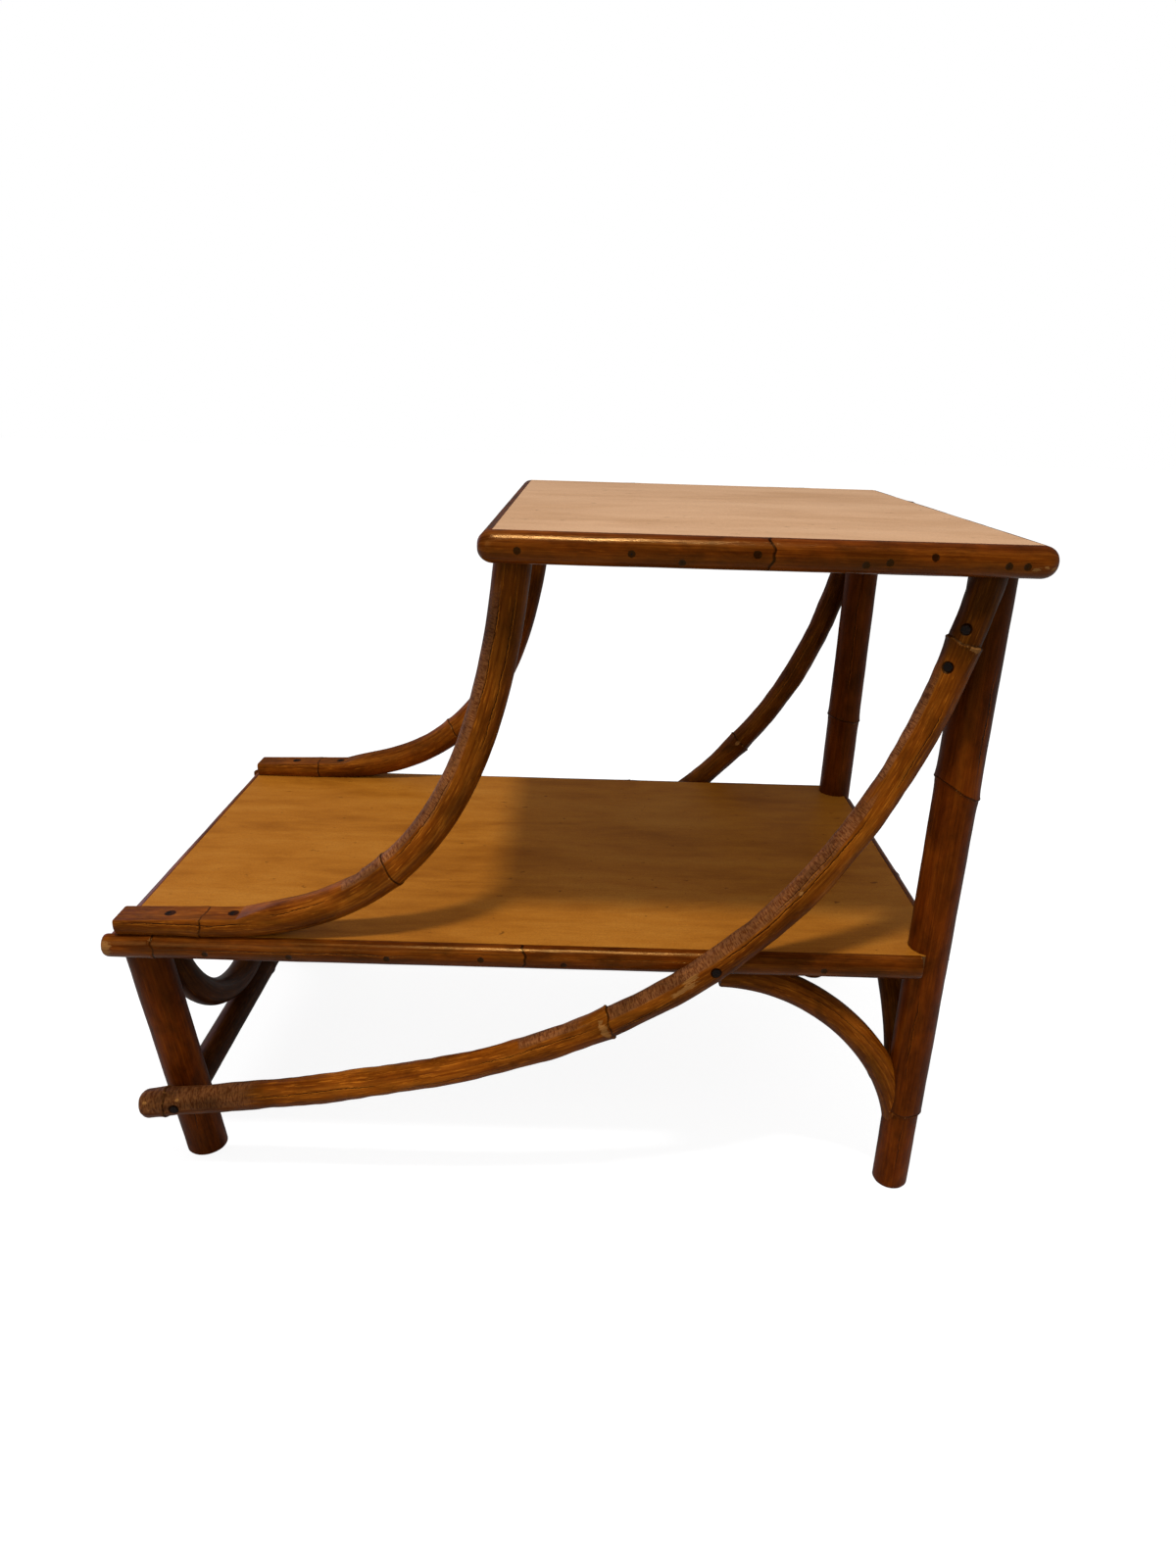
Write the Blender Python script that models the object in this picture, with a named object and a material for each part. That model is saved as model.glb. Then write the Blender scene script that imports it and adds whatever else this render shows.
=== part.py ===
"""Two-tier side table of bent cane: a low shelf, a raised top on its right half.

Metres, +Z up. X runs along the shelf, the raised top is at +X, and the front is at -Y.
The origin lies on the floor, under the middle of the table's outer box.
"""

import math

import bmesh
import bpy
from mathutils import Matrix, Vector

# Driving dimensions of the two panels and their half-round trims
TABLE_HEIGHT = 0.555
TOP_LENGTH = 0.356
TOP_CORE_THICKNESS = 0.0185
SHELF_HEIGHT = 0.234
SHELF_LENGTH = 0.650
SHELF_DEPTH = 0.368
SHELF_CORE_THICKNESS = 0.0165
VENEER_THICKNESS = 0.001
TOP_TRIM_DEPTH = 0.0095
SHELF_TRIM_DEPTH = 0.0088
TOP_TRIM_HANG = 0.002
SHELF_TRIM_HANG = 0.0025
SHELF_TRIM_PROUD = 0.002
TOP_TRIM_JOINT = 0.189
SHELF_TRIM_JOINT = 0.330
SHELF_TRIM_SHORTFALL = 0.018
TOP_OVERHANG = 0.0058
TOP_DEPTH_OVERHANG = 0.028

# Cane diameters
TALL_LEG_DIAMETER = 0.033
TALL_LEG_FOOT_DIAMETER = 0.0295
TALL_LEG_FOOT_HEIGHT = 0.078
SHORT_LEG_DIAMETER = 0.0340
RAIL_DIAMETER = 0.027
BRACE_DIAMETER = 0.0245
ARCH_DIAMETER = 0.0235
SIDE_ARCH_DIAMETER = 0.025
STRETCHER_DIAMETER = 0.025
HOOP_DIAMETER = 0.026
NODE_SWELL = 0.05
NODE_HALF_WIDTH = 0.004

# Nodes of the canes, as shares of each cane's length
FRONT_TALL_LEG_NODE = 0.692
REAR_TALL_LEG_NODE = 0.598
RAIL_NODES = (0.131, 0.452, 0.902)
FRONT_BRACE_NODES = (0.0345, 0.4706, 0.929)
REAR_BRACE_NODES = (0.0345, 0.671, 0.930)
SIDE_ARCH_NODE = 0.27
STRETCHER_NODE = 0.62

# Where the legs stand, measured in from the shelf's outer left end and its front and rear edges
TALL_LEG_SETBACK = 0.0150
SHORT_LEG_FOOT_INSET = 0.0438
SHORT_LEG_TOP_INSET = 0.0220
FRONT_SHORT_LEG_FOOT_SETBACK = 0.036
REAR_SHORT_LEG_FOOT_SETBACK = 0.0080
SHORT_LEG_TOP_SETBACK = 0.0195

# Step rails: they lie on the shelf, then sweep up to the top; shares are of the open shelf
RAIL_END_INSET = 0.0115
RAIL_SETBACK = 0.007
RAIL_FLAT_SHARE = 0.241
RAIL_SEAT_FLAT = 0.004
RAIL_END_THICKNESS = 0.0140
RAIL_PLANED_SHARE = 0.318
RAIL_PLANED_RISE = 0.003
RAIL_RUN_OUT_SLOPE = 0.50
RAIL_TOP_INSET = 0.0125
FRONT_RAIL_HANDLES = ((0.809, 0.0), (0.949, 0.584))
REAR_RAIL_HANDLES = ((0.865, 0.0), (0.961, 0.602))

# Long braces: start height and inset, then the handles of each bent sweep as shares of its span
BRACE_END_INSET = 0.0105
BRACE_END_HEIGHT = 0.0715
FRONT_BRACE_TOP_SHIFT = -0.0115
FRONT_BRACE_HANDLES = ((0.635, 0.086), (0.940, 0.419))
REAR_BRACE_TOP_SHIFT = 0.000
REAR_BRACE_HANDLES = ((0.672, 0.004), (0.960, 0.450))

# Arches, hoop and stretcher below the shelf
ARCH_REACH = 0.1655
ARCH_DROP = 0.1685
ARCH_HANDLE = 0.51
SIDE_ARCH_DROP = 0.118
SIDE_ARCH_INSET = 0.006
STRETCHER_HEIGHT = 0.0625
HOOP_INSET = 0.0515

# Nails, screws and headless pins; the rail's nails are placed as shares of the open shelf
NAIL_HEAD_RADIUS = 0.0034
NAIL_SHANK_RADIUS = 0.0011
SCREW_HEAD_RADIUS = 0.0038
SCREW_SHANK_RADIUS = 0.0018
HEAD_THICKNESS = 0.0009
NAIL_SIDES = 6
NAIL_TWIST = math.radians(11)
PIN_COVER = 0.001
HOLD_IN_LEG = 0.020
HOLD_IN_CANE = 0.012
HOLD_IN_SHELF = 0.010
RAIL_NAIL_SHARES = (0.135, 0.303)
BRACE_NAIL_DROPS = (0.038, 0.064)
BRACE_NAIL_RISE = 0.0085
BRACE_FOOT_NAIL_SHIFT = 0.0045
ARCH_PIN_SPOT = 0.014
ARCH_NAIL_CLEARANCE = 0.006

# A rounded cane end: how far in, and how wide it is there, as shares of the radius
ROUNDED_END = ((0.0, 0.70), (0.2, 0.91), (0.5, 0.98))

# Clearance between pieces that touch, and how finely a cane is divided
GAP = 0.0003
CANE_RESOLUTION = 4
LEG_RESOLUTION = 6
CURVE_STEPS = 26
ARCH_STEPS = 18
LONG_BRACE_STEPS = 34
SHARP_ANGLE = math.radians(40)
WELD = 0.00001
OVERRUN = 0.012

# Places worked out from the sizes above
TOP_DEPTH = SHELF_DEPTH + 2 * TOP_DEPTH_OVERHANG
SHELF_TRIMMED_LENGTH = SHELF_LENGTH + 2 * (SHELF_TRIM_DEPTH + GAP) + SHELF_TRIM_PROUD
OVERALL_LENGTH = SHELF_TRIMMED_LENGTH + TOP_OVERHANG
LEFT_LIMIT = -OVERALL_LENGTH / 2
RIGHT_LIMIT = OVERALL_LENGTH / 2
TOP_TRIM_HEIGHT = TOP_CORE_THICKNESS + VENEER_THICKNESS
SHELF_TRIM_HEIGHT = SHELF_CORE_THICKNESS + VENEER_THICKNESS
TOP_RIGHT = RIGHT_LIMIT - TOP_TRIM_DEPTH - GAP
TOP_LEFT = TOP_RIGHT - TOP_LENGTH
SHELF_LEFT = LEFT_LIMIT + SHELF_TRIM_PROUD + SHELF_TRIM_DEPTH + GAP
SHELF_RIGHT = SHELF_LEFT + SHELF_LENGTH
TOP_UNDERSIDE = TABLE_HEIGHT - TOP_TRIM_HEIGHT
SHELF_UNDERSIDE = SHELF_HEIGHT - SHELF_TRIM_HEIGHT
SHELF_CORE_MIDDLE = SHELF_UNDERSIDE + SHELF_CORE_THICKNESS / 2
TALL_LEG_X = SHELF_RIGHT + GAP + SHELF_TRIM_DEPTH - TALL_LEG_DIAMETER / 2
TALL_LEG_Y = SHELF_DEPTH / 2 - TALL_LEG_SETBACK
SHELF_TRIM_RIGHT = SHELF_RIGHT - SHELF_TRIM_SHORTFALL
OPEN_SHELF_LENGTH = TOP_LEFT - SHELF_LEFT
RAIL_LEFT = LEFT_LIMIT + RAIL_END_INSET
RAIL_FLAT_LENGTH = RAIL_FLAT_SHARE * OPEN_SHELF_LENGTH
RAIL_PLANED_LENGTH = RAIL_PLANED_SHARE * OPEN_SHELF_LENGTH
RAIL_Y = SHELF_DEPTH / 2 - RAIL_SETBACK
RAIL_LYING_HEIGHT = SHELF_HEIGHT + GAP + RAIL_DIAMETER / 2 - RAIL_SEAT_FLAT
RAIL_TOP_X = TOP_LEFT + RAIL_TOP_INSET
ARCH_CROWN_HEIGHT = SHELF_UNDERSIDE - GAP - ARCH_DIAMETER / 2
SIDE_ARCH_CROWN_HEIGHT = SHELF_UNDERSIDE - GAP - SIDE_ARCH_DIAMETER / 2
SIDE_ARCH_X = TALL_LEG_X - SIDE_ARCH_INSET
HOOP_HALF_WIDTH = SHELF_DEPTH / 2 - HOOP_INSET
HOOP_LOW_HEIGHT = STRETCHER_HEIGHT + STRETCHER_DIAMETER / 2 + GAP + HOOP_DIAMETER / 2

SIDES = (("front", -1), ("rear", 1))
RAILS = (("front", -1, FRONT_RAIL_HANDLES), ("rear", 1, REAR_RAIL_HANDLES))
BRACES = (("front", -1, FRONT_BRACE_TOP_SHIFT, FRONT_BRACE_HANDLES),
          ("rear", 1, REAR_BRACE_TOP_SHIFT, REAR_BRACE_HANDLES))

# Finishes: colour, roughness
CANE = ((0.235, 0.098, 0.035, 1.0), 0.38)
TRIM = ((0.290, 0.130, 0.036, 1.0), 0.32)
CORE = ((0.420, 0.280, 0.150, 1.0), 0.60)
TOP_FACE = ((0.540, 0.318, 0.180, 1.0), 0.45)
SHELF_FACE = ((0.450, 0.190, 0.033, 1.0), 0.40)
NAIL = ((0.030, 0.022, 0.018, 1.0), 0.50)

pieces = {}


def clear_scene():
    """Remove every object that the opened scene holds."""
    for item in list(bpy.data.objects):
        bpy.data.objects.remove(item, do_unlink=True)


def new_collection(name):
    group = bpy.data.collections.new(name)
    bpy.context.scene.collection.children.link(group)
    return group


def make_material(name, finish, metallic=0.0):
    colour, roughness = finish
    material = bpy.data.materials.new(name)
    material.use_nodes = True
    shader = material.node_tree.nodes["Principled BSDF"]
    shader.inputs["Base Color"].default_value = colour
    shader.inputs["Roughness"].default_value = roughness
    shader.inputs["Metallic"].default_value = metallic
    material.diffuse_color = colour
    return material


def add_piece(name, mesh, finish, metallic=0.0):
    """Name a finished mesh as one piece of the table, with its own material."""
    mesh.name = name
    mesh.materials.clear()
    mesh.materials.append(make_material(name, finish, metallic))
    piece = bpy.data.objects.new(name, mesh)
    table.objects.link(piece)
    pieces[name] = piece
    return piece


def add_cutter(name, mesh):
    cutter = bpy.data.objects.new(name, mesh)
    cutters.objects.link(cutter)
    cutter.hide_render = True
    cutter.display_type = "WIRE"
    return cutter


def cut(piece, cutter):
    modifier = piece.modifiers.new(cutter.name, "BOOLEAN")
    modifier.operation = "DIFFERENCE"
    modifier.solver = "EXACT"
    modifier.object = cutter


def lengths_along(points):
    """Distance from the first point to each point of a route."""
    lengths = [0.0]
    for before, after in zip(points, points[1:]):
        lengths.append(lengths[-1] + (after - before).length)
    return lengths


def point_at(points, lengths, distance):
    """The point at a distance along a route."""
    for index in range(1, len(points)):
        if distance <= lengths[index] or index == len(points) - 1:
            step = lengths[index] - lengths[index - 1]
            share = (distance - lengths[index - 1]) / step
            return points[index - 1].lerp(points[index], share)


def crossing(path, axis, value):
    """Where a route's rising coordinate passes a value."""
    for before, after in zip(path, path[1:]):
        if before[axis] <= value <= after[axis]:
            share = (value - before[axis]) / (after[axis] - before[axis])
            return type(before)(low + (high - low) * share for low, high in zip(before, after))
    return path[-1]


def cane_mesh(route, diameter, nodes=(), rounded=(False, False), steps=CURVE_STEPS,
              resolution=CANE_RESOLUTION, foot=None):
    """A cane along a dense route, with swollen nodes, as a closed mesh.

    nodes holds the nodes' places as shares of the length. foot is the length and the diameter
    of a thinner first stretch.
    """
    lengths = lengths_along(route)
    total = lengths[-1]
    radius = diameter / 2
    stations = {}

    def plain_radius(distance):
        if foot and distance < foot[0]:
            return foot[1] / 2
        return radius

    for index in range(steps + 1):
        distance = total * index / steps
        stations[distance] = plain_radius(distance)
    if foot:
        stations[foot[0] - NODE_HALF_WIDTH] = foot[1] / 2
        stations[foot[0]] = radius
    for share in nodes:
        middle = total * share
        for distance in [near for near in stations if abs(near - middle) < NODE_HALF_WIDTH]:
            if 0 < distance < total:
                del stations[distance]
        for distance in (middle - NODE_HALF_WIDTH, middle + NODE_HALF_WIDTH):
            stations[distance] = plain_radius(distance)
        stations[middle] = plain_radius(middle) * (1 + NODE_SWELL)
    for end, is_round in zip((0.0, total), rounded):
        if is_round:
            towards = 1 if end == 0.0 else -1
            for share, shrink in ROUNDED_END:
                stations[end + towards * share * radius] = radius * shrink
    curve = bpy.data.curves.new("route", "CURVE")
    curve.dimensions = "3D"
    curve.bevel_depth = radius
    curve.bevel_resolution = resolution
    curve.use_fill_caps = True
    spline = curve.splines.new("POLY")
    spline.points.add(len(stations) - 1)
    for knot, distance in zip(spline.points, sorted(stations)):
        knot.co = (*point_at(route, lengths, distance), 1.0)
        knot.radius = stations[distance] / radius
    holder = bpy.data.objects.new("route", curve)
    bpy.context.scene.collection.objects.link(holder)
    depsgraph = bpy.context.evaluated_depsgraph_get()
    mesh = bpy.data.meshes.new_from_object(holder.evaluated_get(depsgraph))
    bpy.data.objects.remove(holder)
    bpy.data.curves.remove(curve)
    shape = bmesh.new()
    shape.from_mesh(mesh)
    bmesh.ops.remove_doubles(shape, verts=shape.verts, dist=WELD)
    bmesh.ops.recalc_face_normals(shape, faces=shape.faces)
    shape.to_mesh(mesh)
    shape.free()
    mesh.shade_smooth()
    mesh.set_sharp_from_angle(angle=SHARP_ANGLE)
    return mesh


def saw(mesh, point, direction):
    """Saw a mesh flat at a point, and take away what lies towards the direction."""
    shape = bmesh.new()
    shape.from_mesh(mesh)
    geometry = shape.verts[:] + shape.edges[:] + shape.faces[:]
    bmesh.ops.bisect_plane(shape, geom=geometry, dist=0.000001, plane_co=point,
                           plane_no=direction, clear_outer=True)
    rim = [edge for edge in shape.edges if edge.is_boundary]
    bmesh.ops.holes_fill(shape, edges=rim, sides=0)
    bmesh.ops.recalc_face_normals(shape, faces=shape.faces)
    shape.to_mesh(mesh)
    shape.free()


def box_mesh(low, high):
    """A box between two corners."""
    shape = bmesh.new()
    bmesh.ops.create_cube(shape, size=1.0)
    size = [top - bottom for bottom, top in zip(low, high)]
    middle = [(top + bottom) / 2 for bottom, top in zip(low, high)]
    bmesh.ops.scale(shape, vec=size, verts=shape.verts)
    bmesh.ops.translate(shape, vec=middle, verts=shape.verts)
    mesh = bpy.data.meshes.new("box")
    shape.to_mesh(mesh)
    shape.free()
    return mesh


def straight(start, end, steps=24):
    """A dense straight route."""
    return [Vector(start).lerp(Vector(end), index / steps) for index in range(steps + 1)]


def bent_sweep(start, end, handles, samples=160):
    """A cubic sweep in X and Z, with its handles as shares of the span."""
    span_x = end[0] - start[0]
    span_z = end[1] - start[1]
    first, second = handles
    controls = (start, (start[0] + first[0] * span_x, start[1] + first[1] * span_z),
                (start[0] + second[0] * span_x, start[1] + second[1] * span_z), end)
    points = []
    for index in range(samples + 1):
        t = index / samples
        weights = ((1 - t) ** 3, 3 * t * (1 - t) ** 2, 3 * t * t * (1 - t), t ** 3)
        pairs = list(zip(weights, controls))
        points.append(tuple(sum(weight * control[axis] for weight, control in pairs)
                            for axis in (0, 1)))
    return points


def ease(value, low, high):
    """0 below low, 1 above high, and smooth between them."""
    share = min(max((value - low) / (high - low), 0.0), 1.0)
    return share * share * (3 - 2 * share)


def half_round(name, start, end, outward, height, depth, rounded):
    """A split cane: flat on the panel's edge, round outside."""
    across = Vector(outward)
    anchor = Vector(start)
    mesh = cane_mesh(straight(start, end), height, rounded=rounded, steps=2,
                     resolution=LEG_RESOLUTION)
    stretch = depth / (height / 2)
    for vertex in mesh.vertices:
        offset = (vertex.co - anchor).dot(across)
        vertex.co += across * offset * (stretch - 1)
    saw(mesh, anchor, -across)
    return add_piece(name, mesh, TRIM)


def build_panel(tier, left, right, depth, top, core_thickness):
    """A plywood core with a veneer laid on it."""
    half = depth / 2
    core_top = top - VENEER_THICKNESS
    add_piece(tier + "_core", box_mesh((left, -half, core_top - core_thickness),
                                       (right, half, core_top - GAP)), CORE)
    face = TOP_FACE if tier == "top" else SHELF_FACE
    add_piece(tier + "_veneer", box_mesh((left, -half, core_top), (right, half, top)), face)


def build_long_trims(tier, left, right, joint, half_depth, top, height, depth):
    """The front trim in two lengths, and the rear trim in one."""
    middle = top - height / 2
    edge = half_depth + GAP
    lengths = (("front_trim_left", -1, left, joint - GAP, (True, False)),
               ("front_trim_right", -1, joint, right, (False, True)),
               ("rear_trim", 1, left, right, (True, True)))
    for name, sign, start, end, rounded in lengths:
        y = sign * edge
        half_round(f"{tier}_{name}", (start, y, middle), (end, y, middle), (0, sign, 0), height,
                   depth, rounded)


def build_side_trim(name, x, half_length, outward, top, height, depth):
    middle = top - height / 2
    half_round(name, (x, -half_length, middle), (x, half_length, middle), (outward, 0, 0), height,
               depth, (False, False))


def build_trims():
    """Split canes round both panels; the long ones hang a little below the plywood."""
    outer_left = TOP_LEFT - GAP - TOP_TRIM_DEPTH
    build_long_trims("top", outer_left, RIGHT_LIMIT, outer_left + TOP_TRIM_JOINT, TOP_DEPTH / 2,
                     TABLE_HEIGHT, TOP_TRIM_HEIGHT + TOP_TRIM_HANG, TOP_TRIM_DEPTH)
    for name, x, outward in (("top_left_trim", TOP_LEFT - GAP, -1),
                             ("top_right_trim", TOP_RIGHT + GAP, 1)):
        build_side_trim(name, x, TOP_DEPTH / 2, outward, TABLE_HEIGHT, TOP_TRIM_HEIGHT,
                        TOP_TRIM_DEPTH)
    build_long_trims("shelf", LEFT_LIMIT, SHELF_TRIM_RIGHT, LEFT_LIMIT + SHELF_TRIM_JOINT,
                     SHELF_DEPTH / 2, SHELF_HEIGHT, SHELF_TRIM_HEIGHT + SHELF_TRIM_HANG,
                     SHELF_TRIM_DEPTH)
    inner = SHELF_RIGHT + GAP
    reach = TALL_LEG_DIAMETER / 2 * (1 + NODE_SWELL) + GAP
    notch = math.sqrt(max(reach ** 2 - (inner - TALL_LEG_X) ** 2, 0.0))
    for name, x, half_length, outward in (
            ("shelf_left_trim", SHELF_LEFT - GAP, SHELF_DEPTH / 2, -1),
            ("shelf_right_trim", inner, TALL_LEG_Y - notch, 1)):
        build_side_trim(name, x, half_length, outward, SHELF_HEIGHT, SHELF_TRIM_HEIGHT,
                        SHELF_TRIM_DEPTH)


def leg_cutter(name, low, high, diameter):
    """A round cutter that leaves the clearance round a leg."""
    mesh = cane_mesh(straight(low, high), diameter + 2 * GAP, steps=1, resolution=LEG_RESOLUTION)
    return add_cutter(name, mesh)


def build_tall_legs():
    """The straight right legs, in notches of the shelf, up to the top's underside."""
    crown = TOP_UNDERSIDE - GAP
    for side, sign, node in (("front", -1, FRONT_TALL_LEG_NODE), ("rear", 1, REAR_TALL_LEG_NODE)):
        foot = (TALL_LEG_X, sign * TALL_LEG_Y, 0.0)
        head = (TALL_LEG_X, sign * TALL_LEG_Y, crown)
        mesh = cane_mesh(straight(foot, head), TALL_LEG_DIAMETER, nodes=(node,), steps=4,
                         resolution=LEG_RESOLUTION,
                         foot=(TALL_LEG_FOOT_HEIGHT, TALL_LEG_FOOT_DIAMETER))
        add_piece(side + "_tall_leg", mesh, CANE)
        notch = leg_cutter(side + "_tall_leg_space", foot, head, TALL_LEG_DIAMETER)
        ends = sorted((sign * TALL_LEG_Y, sign * SHELF_DEPTH))
        corner = add_cutter(side + "_shelf_corner", box_mesh((TALL_LEG_X, ends[0], 0.0),
                                                             (RIGHT_LIMIT, ends[1], TABLE_HEIGHT)))
        for panel in ("shelf_core", "shelf_veneer"):
            cut(pieces[panel], notch)
            cut(pieces[panel], corner)


def short_leg_centre(sign, height):
    """Centre of a leaning left leg at a height, front for sign -1."""
    share = height / SHELF_UNDERSIDE
    inset = SHORT_LEG_FOOT_INSET + (SHORT_LEG_TOP_INSET - SHORT_LEG_FOOT_INSET) * share
    foot = FRONT_SHORT_LEG_FOOT_SETBACK if sign < 0 else REAR_SHORT_LEG_FOOT_SETBACK
    setback = foot + (SHORT_LEG_TOP_SETBACK - foot) * share
    return Vector((LEFT_LIMIT + inset, sign * (SHELF_DEPTH / 2 - setback), height))


def build_short_legs():
    """The left legs lean: their feet stand further in than their tops."""
    for side, sign in SIDES:
        route = straight(short_leg_centre(sign, -OVERRUN),
                         short_leg_centre(sign, SHELF_UNDERSIDE + OVERRUN))
        mesh = cane_mesh(route, SHORT_LEG_DIAMETER, steps=3, resolution=LEG_RESOLUTION)
        saw(mesh, (0, 0, 0), (0, 0, -1))
        saw(mesh, (0, 0, SHELF_UNDERSIDE - GAP), (0, 0, 1))
        add_piece(side + "_short_leg", mesh, CANE)
        leg_cutter(side + "_short_leg_space", route[0], route[-1], SHORT_LEG_DIAMETER)


def rail_path(handles):
    """X and Z of a step rail: flat on the shelf, then bent up to the top."""
    bend = (RAIL_LEFT + RAIL_FLAT_LENGTH, RAIL_LYING_HEIGHT)
    head = (RAIL_TOP_X, TOP_UNDERSIDE + OVERRUN)
    flat = [(RAIL_LEFT + RAIL_FLAT_LENGTH * index / 12, RAIL_LYING_HEIGHT) for index in range(12)]
    return flat + bent_sweep(bend, head, handles)


def planed_height(distance):
    """Height of the planed face on a rail's end, at a distance from its left end."""
    return SHELF_HEIGHT + RAIL_END_THICKNESS + RAIL_PLANED_RISE * distance / RAIL_PLANED_LENGTH


def build_step_rails():
    """Canes that lie planed on the shelf and sweep up to carry the top's left side."""
    planes = ((0.0, -OVERRUN, RAIL_PLANED_LENGTH, RAIL_PLANED_RISE / RAIL_PLANED_LENGTH),
              (RAIL_PLANED_LENGTH, 0.0, RAIL_PLANED_LENGTH, RAIL_RUN_OUT_SLOPE))
    for side, sign, handles in RAILS:
        y = sign * RAIL_Y
        route = [Vector((x, y, z)) for x, z in rail_path(handles)]
        mesh = cane_mesh(route, RAIL_DIAMETER, nodes=RAIL_NODES)
        saw(mesh, (0, 0, SHELF_HEIGHT + GAP), (0, 0, -1))
        saw(mesh, (0, 0, TOP_UNDERSIDE - GAP), (0, 0, 1))
        rail = add_piece(side + "_step_rail", mesh, CANE)
        for distance, start, length, slope in planes:
            space = box_mesh((start, -RAIL_DIAMETER, 0.0), (length, RAIL_DIAMETER, RAIL_DIAMETER))
            plane = add_cutter(f"{side}_rail_planing", space)
            plane.location = (RAIL_LEFT + distance, y, planed_height(distance))
            plane.rotation_euler[1] = -math.atan(slope)
            cut(rail, plane)


def brace_route(sign, shift, handles):
    """A long brace from outside the short leg, past the shelf's trim, to outside the tall leg."""
    start = (LEFT_LIMIT + BRACE_END_INSET, BRACE_END_HEIGHT)
    path = bent_sweep(start, (TALL_LEG_X + shift, TOP_UNDERSIDE + OVERRUN), handles)
    radius = BRACE_DIAMETER / 2
    short_leg = short_leg_centre(sign, BRACE_END_HEIGHT + radius)
    at_short_leg = abs(short_leg.y) + SHORT_LEG_DIAMETER / 2 + 2 * GAP + radius * (1 + NODE_SWELL)
    at_trim = SHELF_DEPTH / 2 + SHELF_TRIM_DEPTH + 2 * GAP + radius
    reach = TALL_LEG_DIAMETER / 2 * (1 + NODE_SWELL) + radius + 2 * GAP
    at_tall_leg = TALL_LEG_Y + math.sqrt(max(reach ** 2 - max(-shift, 0.0) ** 2, 0.0))
    leaves_short_leg = short_leg.x + SHORT_LEG_DIAMETER / 2
    meets_trim = crossing(path, 1, SHELF_UNDERSIDE - radius)[0]
    leaves_trim = crossing(path, 1, SHELF_HEIGHT + radius)[0]
    meets_tall_leg = TALL_LEG_X - TALL_LEG_DIAMETER
    route = []
    for x, z in path:
        out = at_short_leg + (at_trim - at_short_leg) * ease(x, leaves_short_leg, meets_trim)
        out += (at_tall_leg - at_trim) * ease(x, leaves_trim, meets_tall_leg)
        route.append(Vector((x, sign * out, z)))
    return route


def build_long_braces():
    """Canes that run outside the short legs and the shelf, up beside the tall legs."""
    for (side, *shape), nodes in zip(BRACES, (FRONT_BRACE_NODES, REAR_BRACE_NODES)):
        mesh = cane_mesh(brace_route(*shape), BRACE_DIAMETER, nodes=nodes, rounded=(True, False),
                         steps=LONG_BRACE_STEPS)
        saw(mesh, (0, 0, TOP_UNDERSIDE - GAP), (0, 0, 1))
        add_piece(side + "_long_brace", mesh, CANE)


def oval_points(centre, across, up, samples=80):
    """Points of half an oval; across and up are its half axes."""
    points = []
    for index in range(samples + 1):
        angle = math.pi * index / samples
        points.append(centre + across * math.cos(angle) + up * math.sin(angle))
    return points


def arch_route(sign):
    """From the crown under the shelf to the tall leg's axis."""
    crown = (TALL_LEG_X - ARCH_REACH, ARCH_CROWN_HEIGHT)
    foot = (TALL_LEG_X, ARCH_CROWN_HEIGHT - ARCH_DROP)
    path = bent_sweep(crown, foot, ((ARCH_HANDLE, 0.0), (1.0, 1.0 - ARCH_HANDLE)))
    return [Vector((x, sign * TALL_LEG_Y, z)) for x, z in path]


def side_arch_route():
    """From the front tall leg's axis over to the rear one's."""
    centre = Vector((SIDE_ARCH_X, 0, SIDE_ARCH_CROWN_HEIGHT - SIDE_ARCH_DROP))
    return oval_points(centre, Vector((0, -TALL_LEG_Y, 0)), Vector((0, 0, SIDE_ARCH_DROP)))


def build_arches():
    """Bent canes below the shelf at the tall legs, scribed to the legs and to each other."""
    side_arch = add_piece("right_side_arch", cane_mesh(side_arch_route(), SIDE_ARCH_DIAMETER,
                                                       nodes=(SIDE_ARCH_NODE,)), CANE)
    for side, sign in SIDES:
        route = arch_route(sign)
        arch = add_piece(side + "_arch_brace",
                         cane_mesh(route, ARCH_DIAMETER, steps=ARCH_STEPS), CANE)
        arch_space = add_cutter(side + "_arch_space",
                                cane_mesh(route, ARCH_DIAMETER + 2 * GAP, steps=ARCH_STEPS))
        cut(side_arch, arch_space)
        for piece in (arch, side_arch):
            cut(piece, bpy.data.objects[side + "_tall_leg_space"])


def build_left_end():
    """The stretcher between the short legs, and the hoop that stands on it."""
    ends = [short_leg_centre(sign, STRETCHER_HEIGHT) for sign in (-1, 1)]
    stretcher = add_piece("left_stretcher", cane_mesh(straight(*ends), STRETCHER_DIAMETER, steps=4,
                                                      nodes=(STRETCHER_NODE,)), CANE)
    top = SHELF_UNDERSIDE - GAP
    centre = Vector((short_leg_centre(-1, top).x, 0, top))
    low = Vector((short_leg_centre(-1, HOOP_LOW_HEIGHT).x, 0, HOOP_LOW_HEIGHT))
    bend = oval_points(centre, Vector((0, -HOOP_HALF_WIDTH, 0)), low - centre)
    rise = (centre - low).normalized() * OVERRUN
    mesh = cane_mesh([bend[0] + rise, *bend, bend[-1] + rise], HOOP_DIAMETER)
    saw(mesh, centre, (0, 0, 1))
    hoop = add_piece("left_hoop", mesh, CANE)
    for side in ("front", "rear"):
        for piece in (stretcher, hoop):
            cut(piece, bpy.data.objects[side + "_short_leg_space"])


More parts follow.
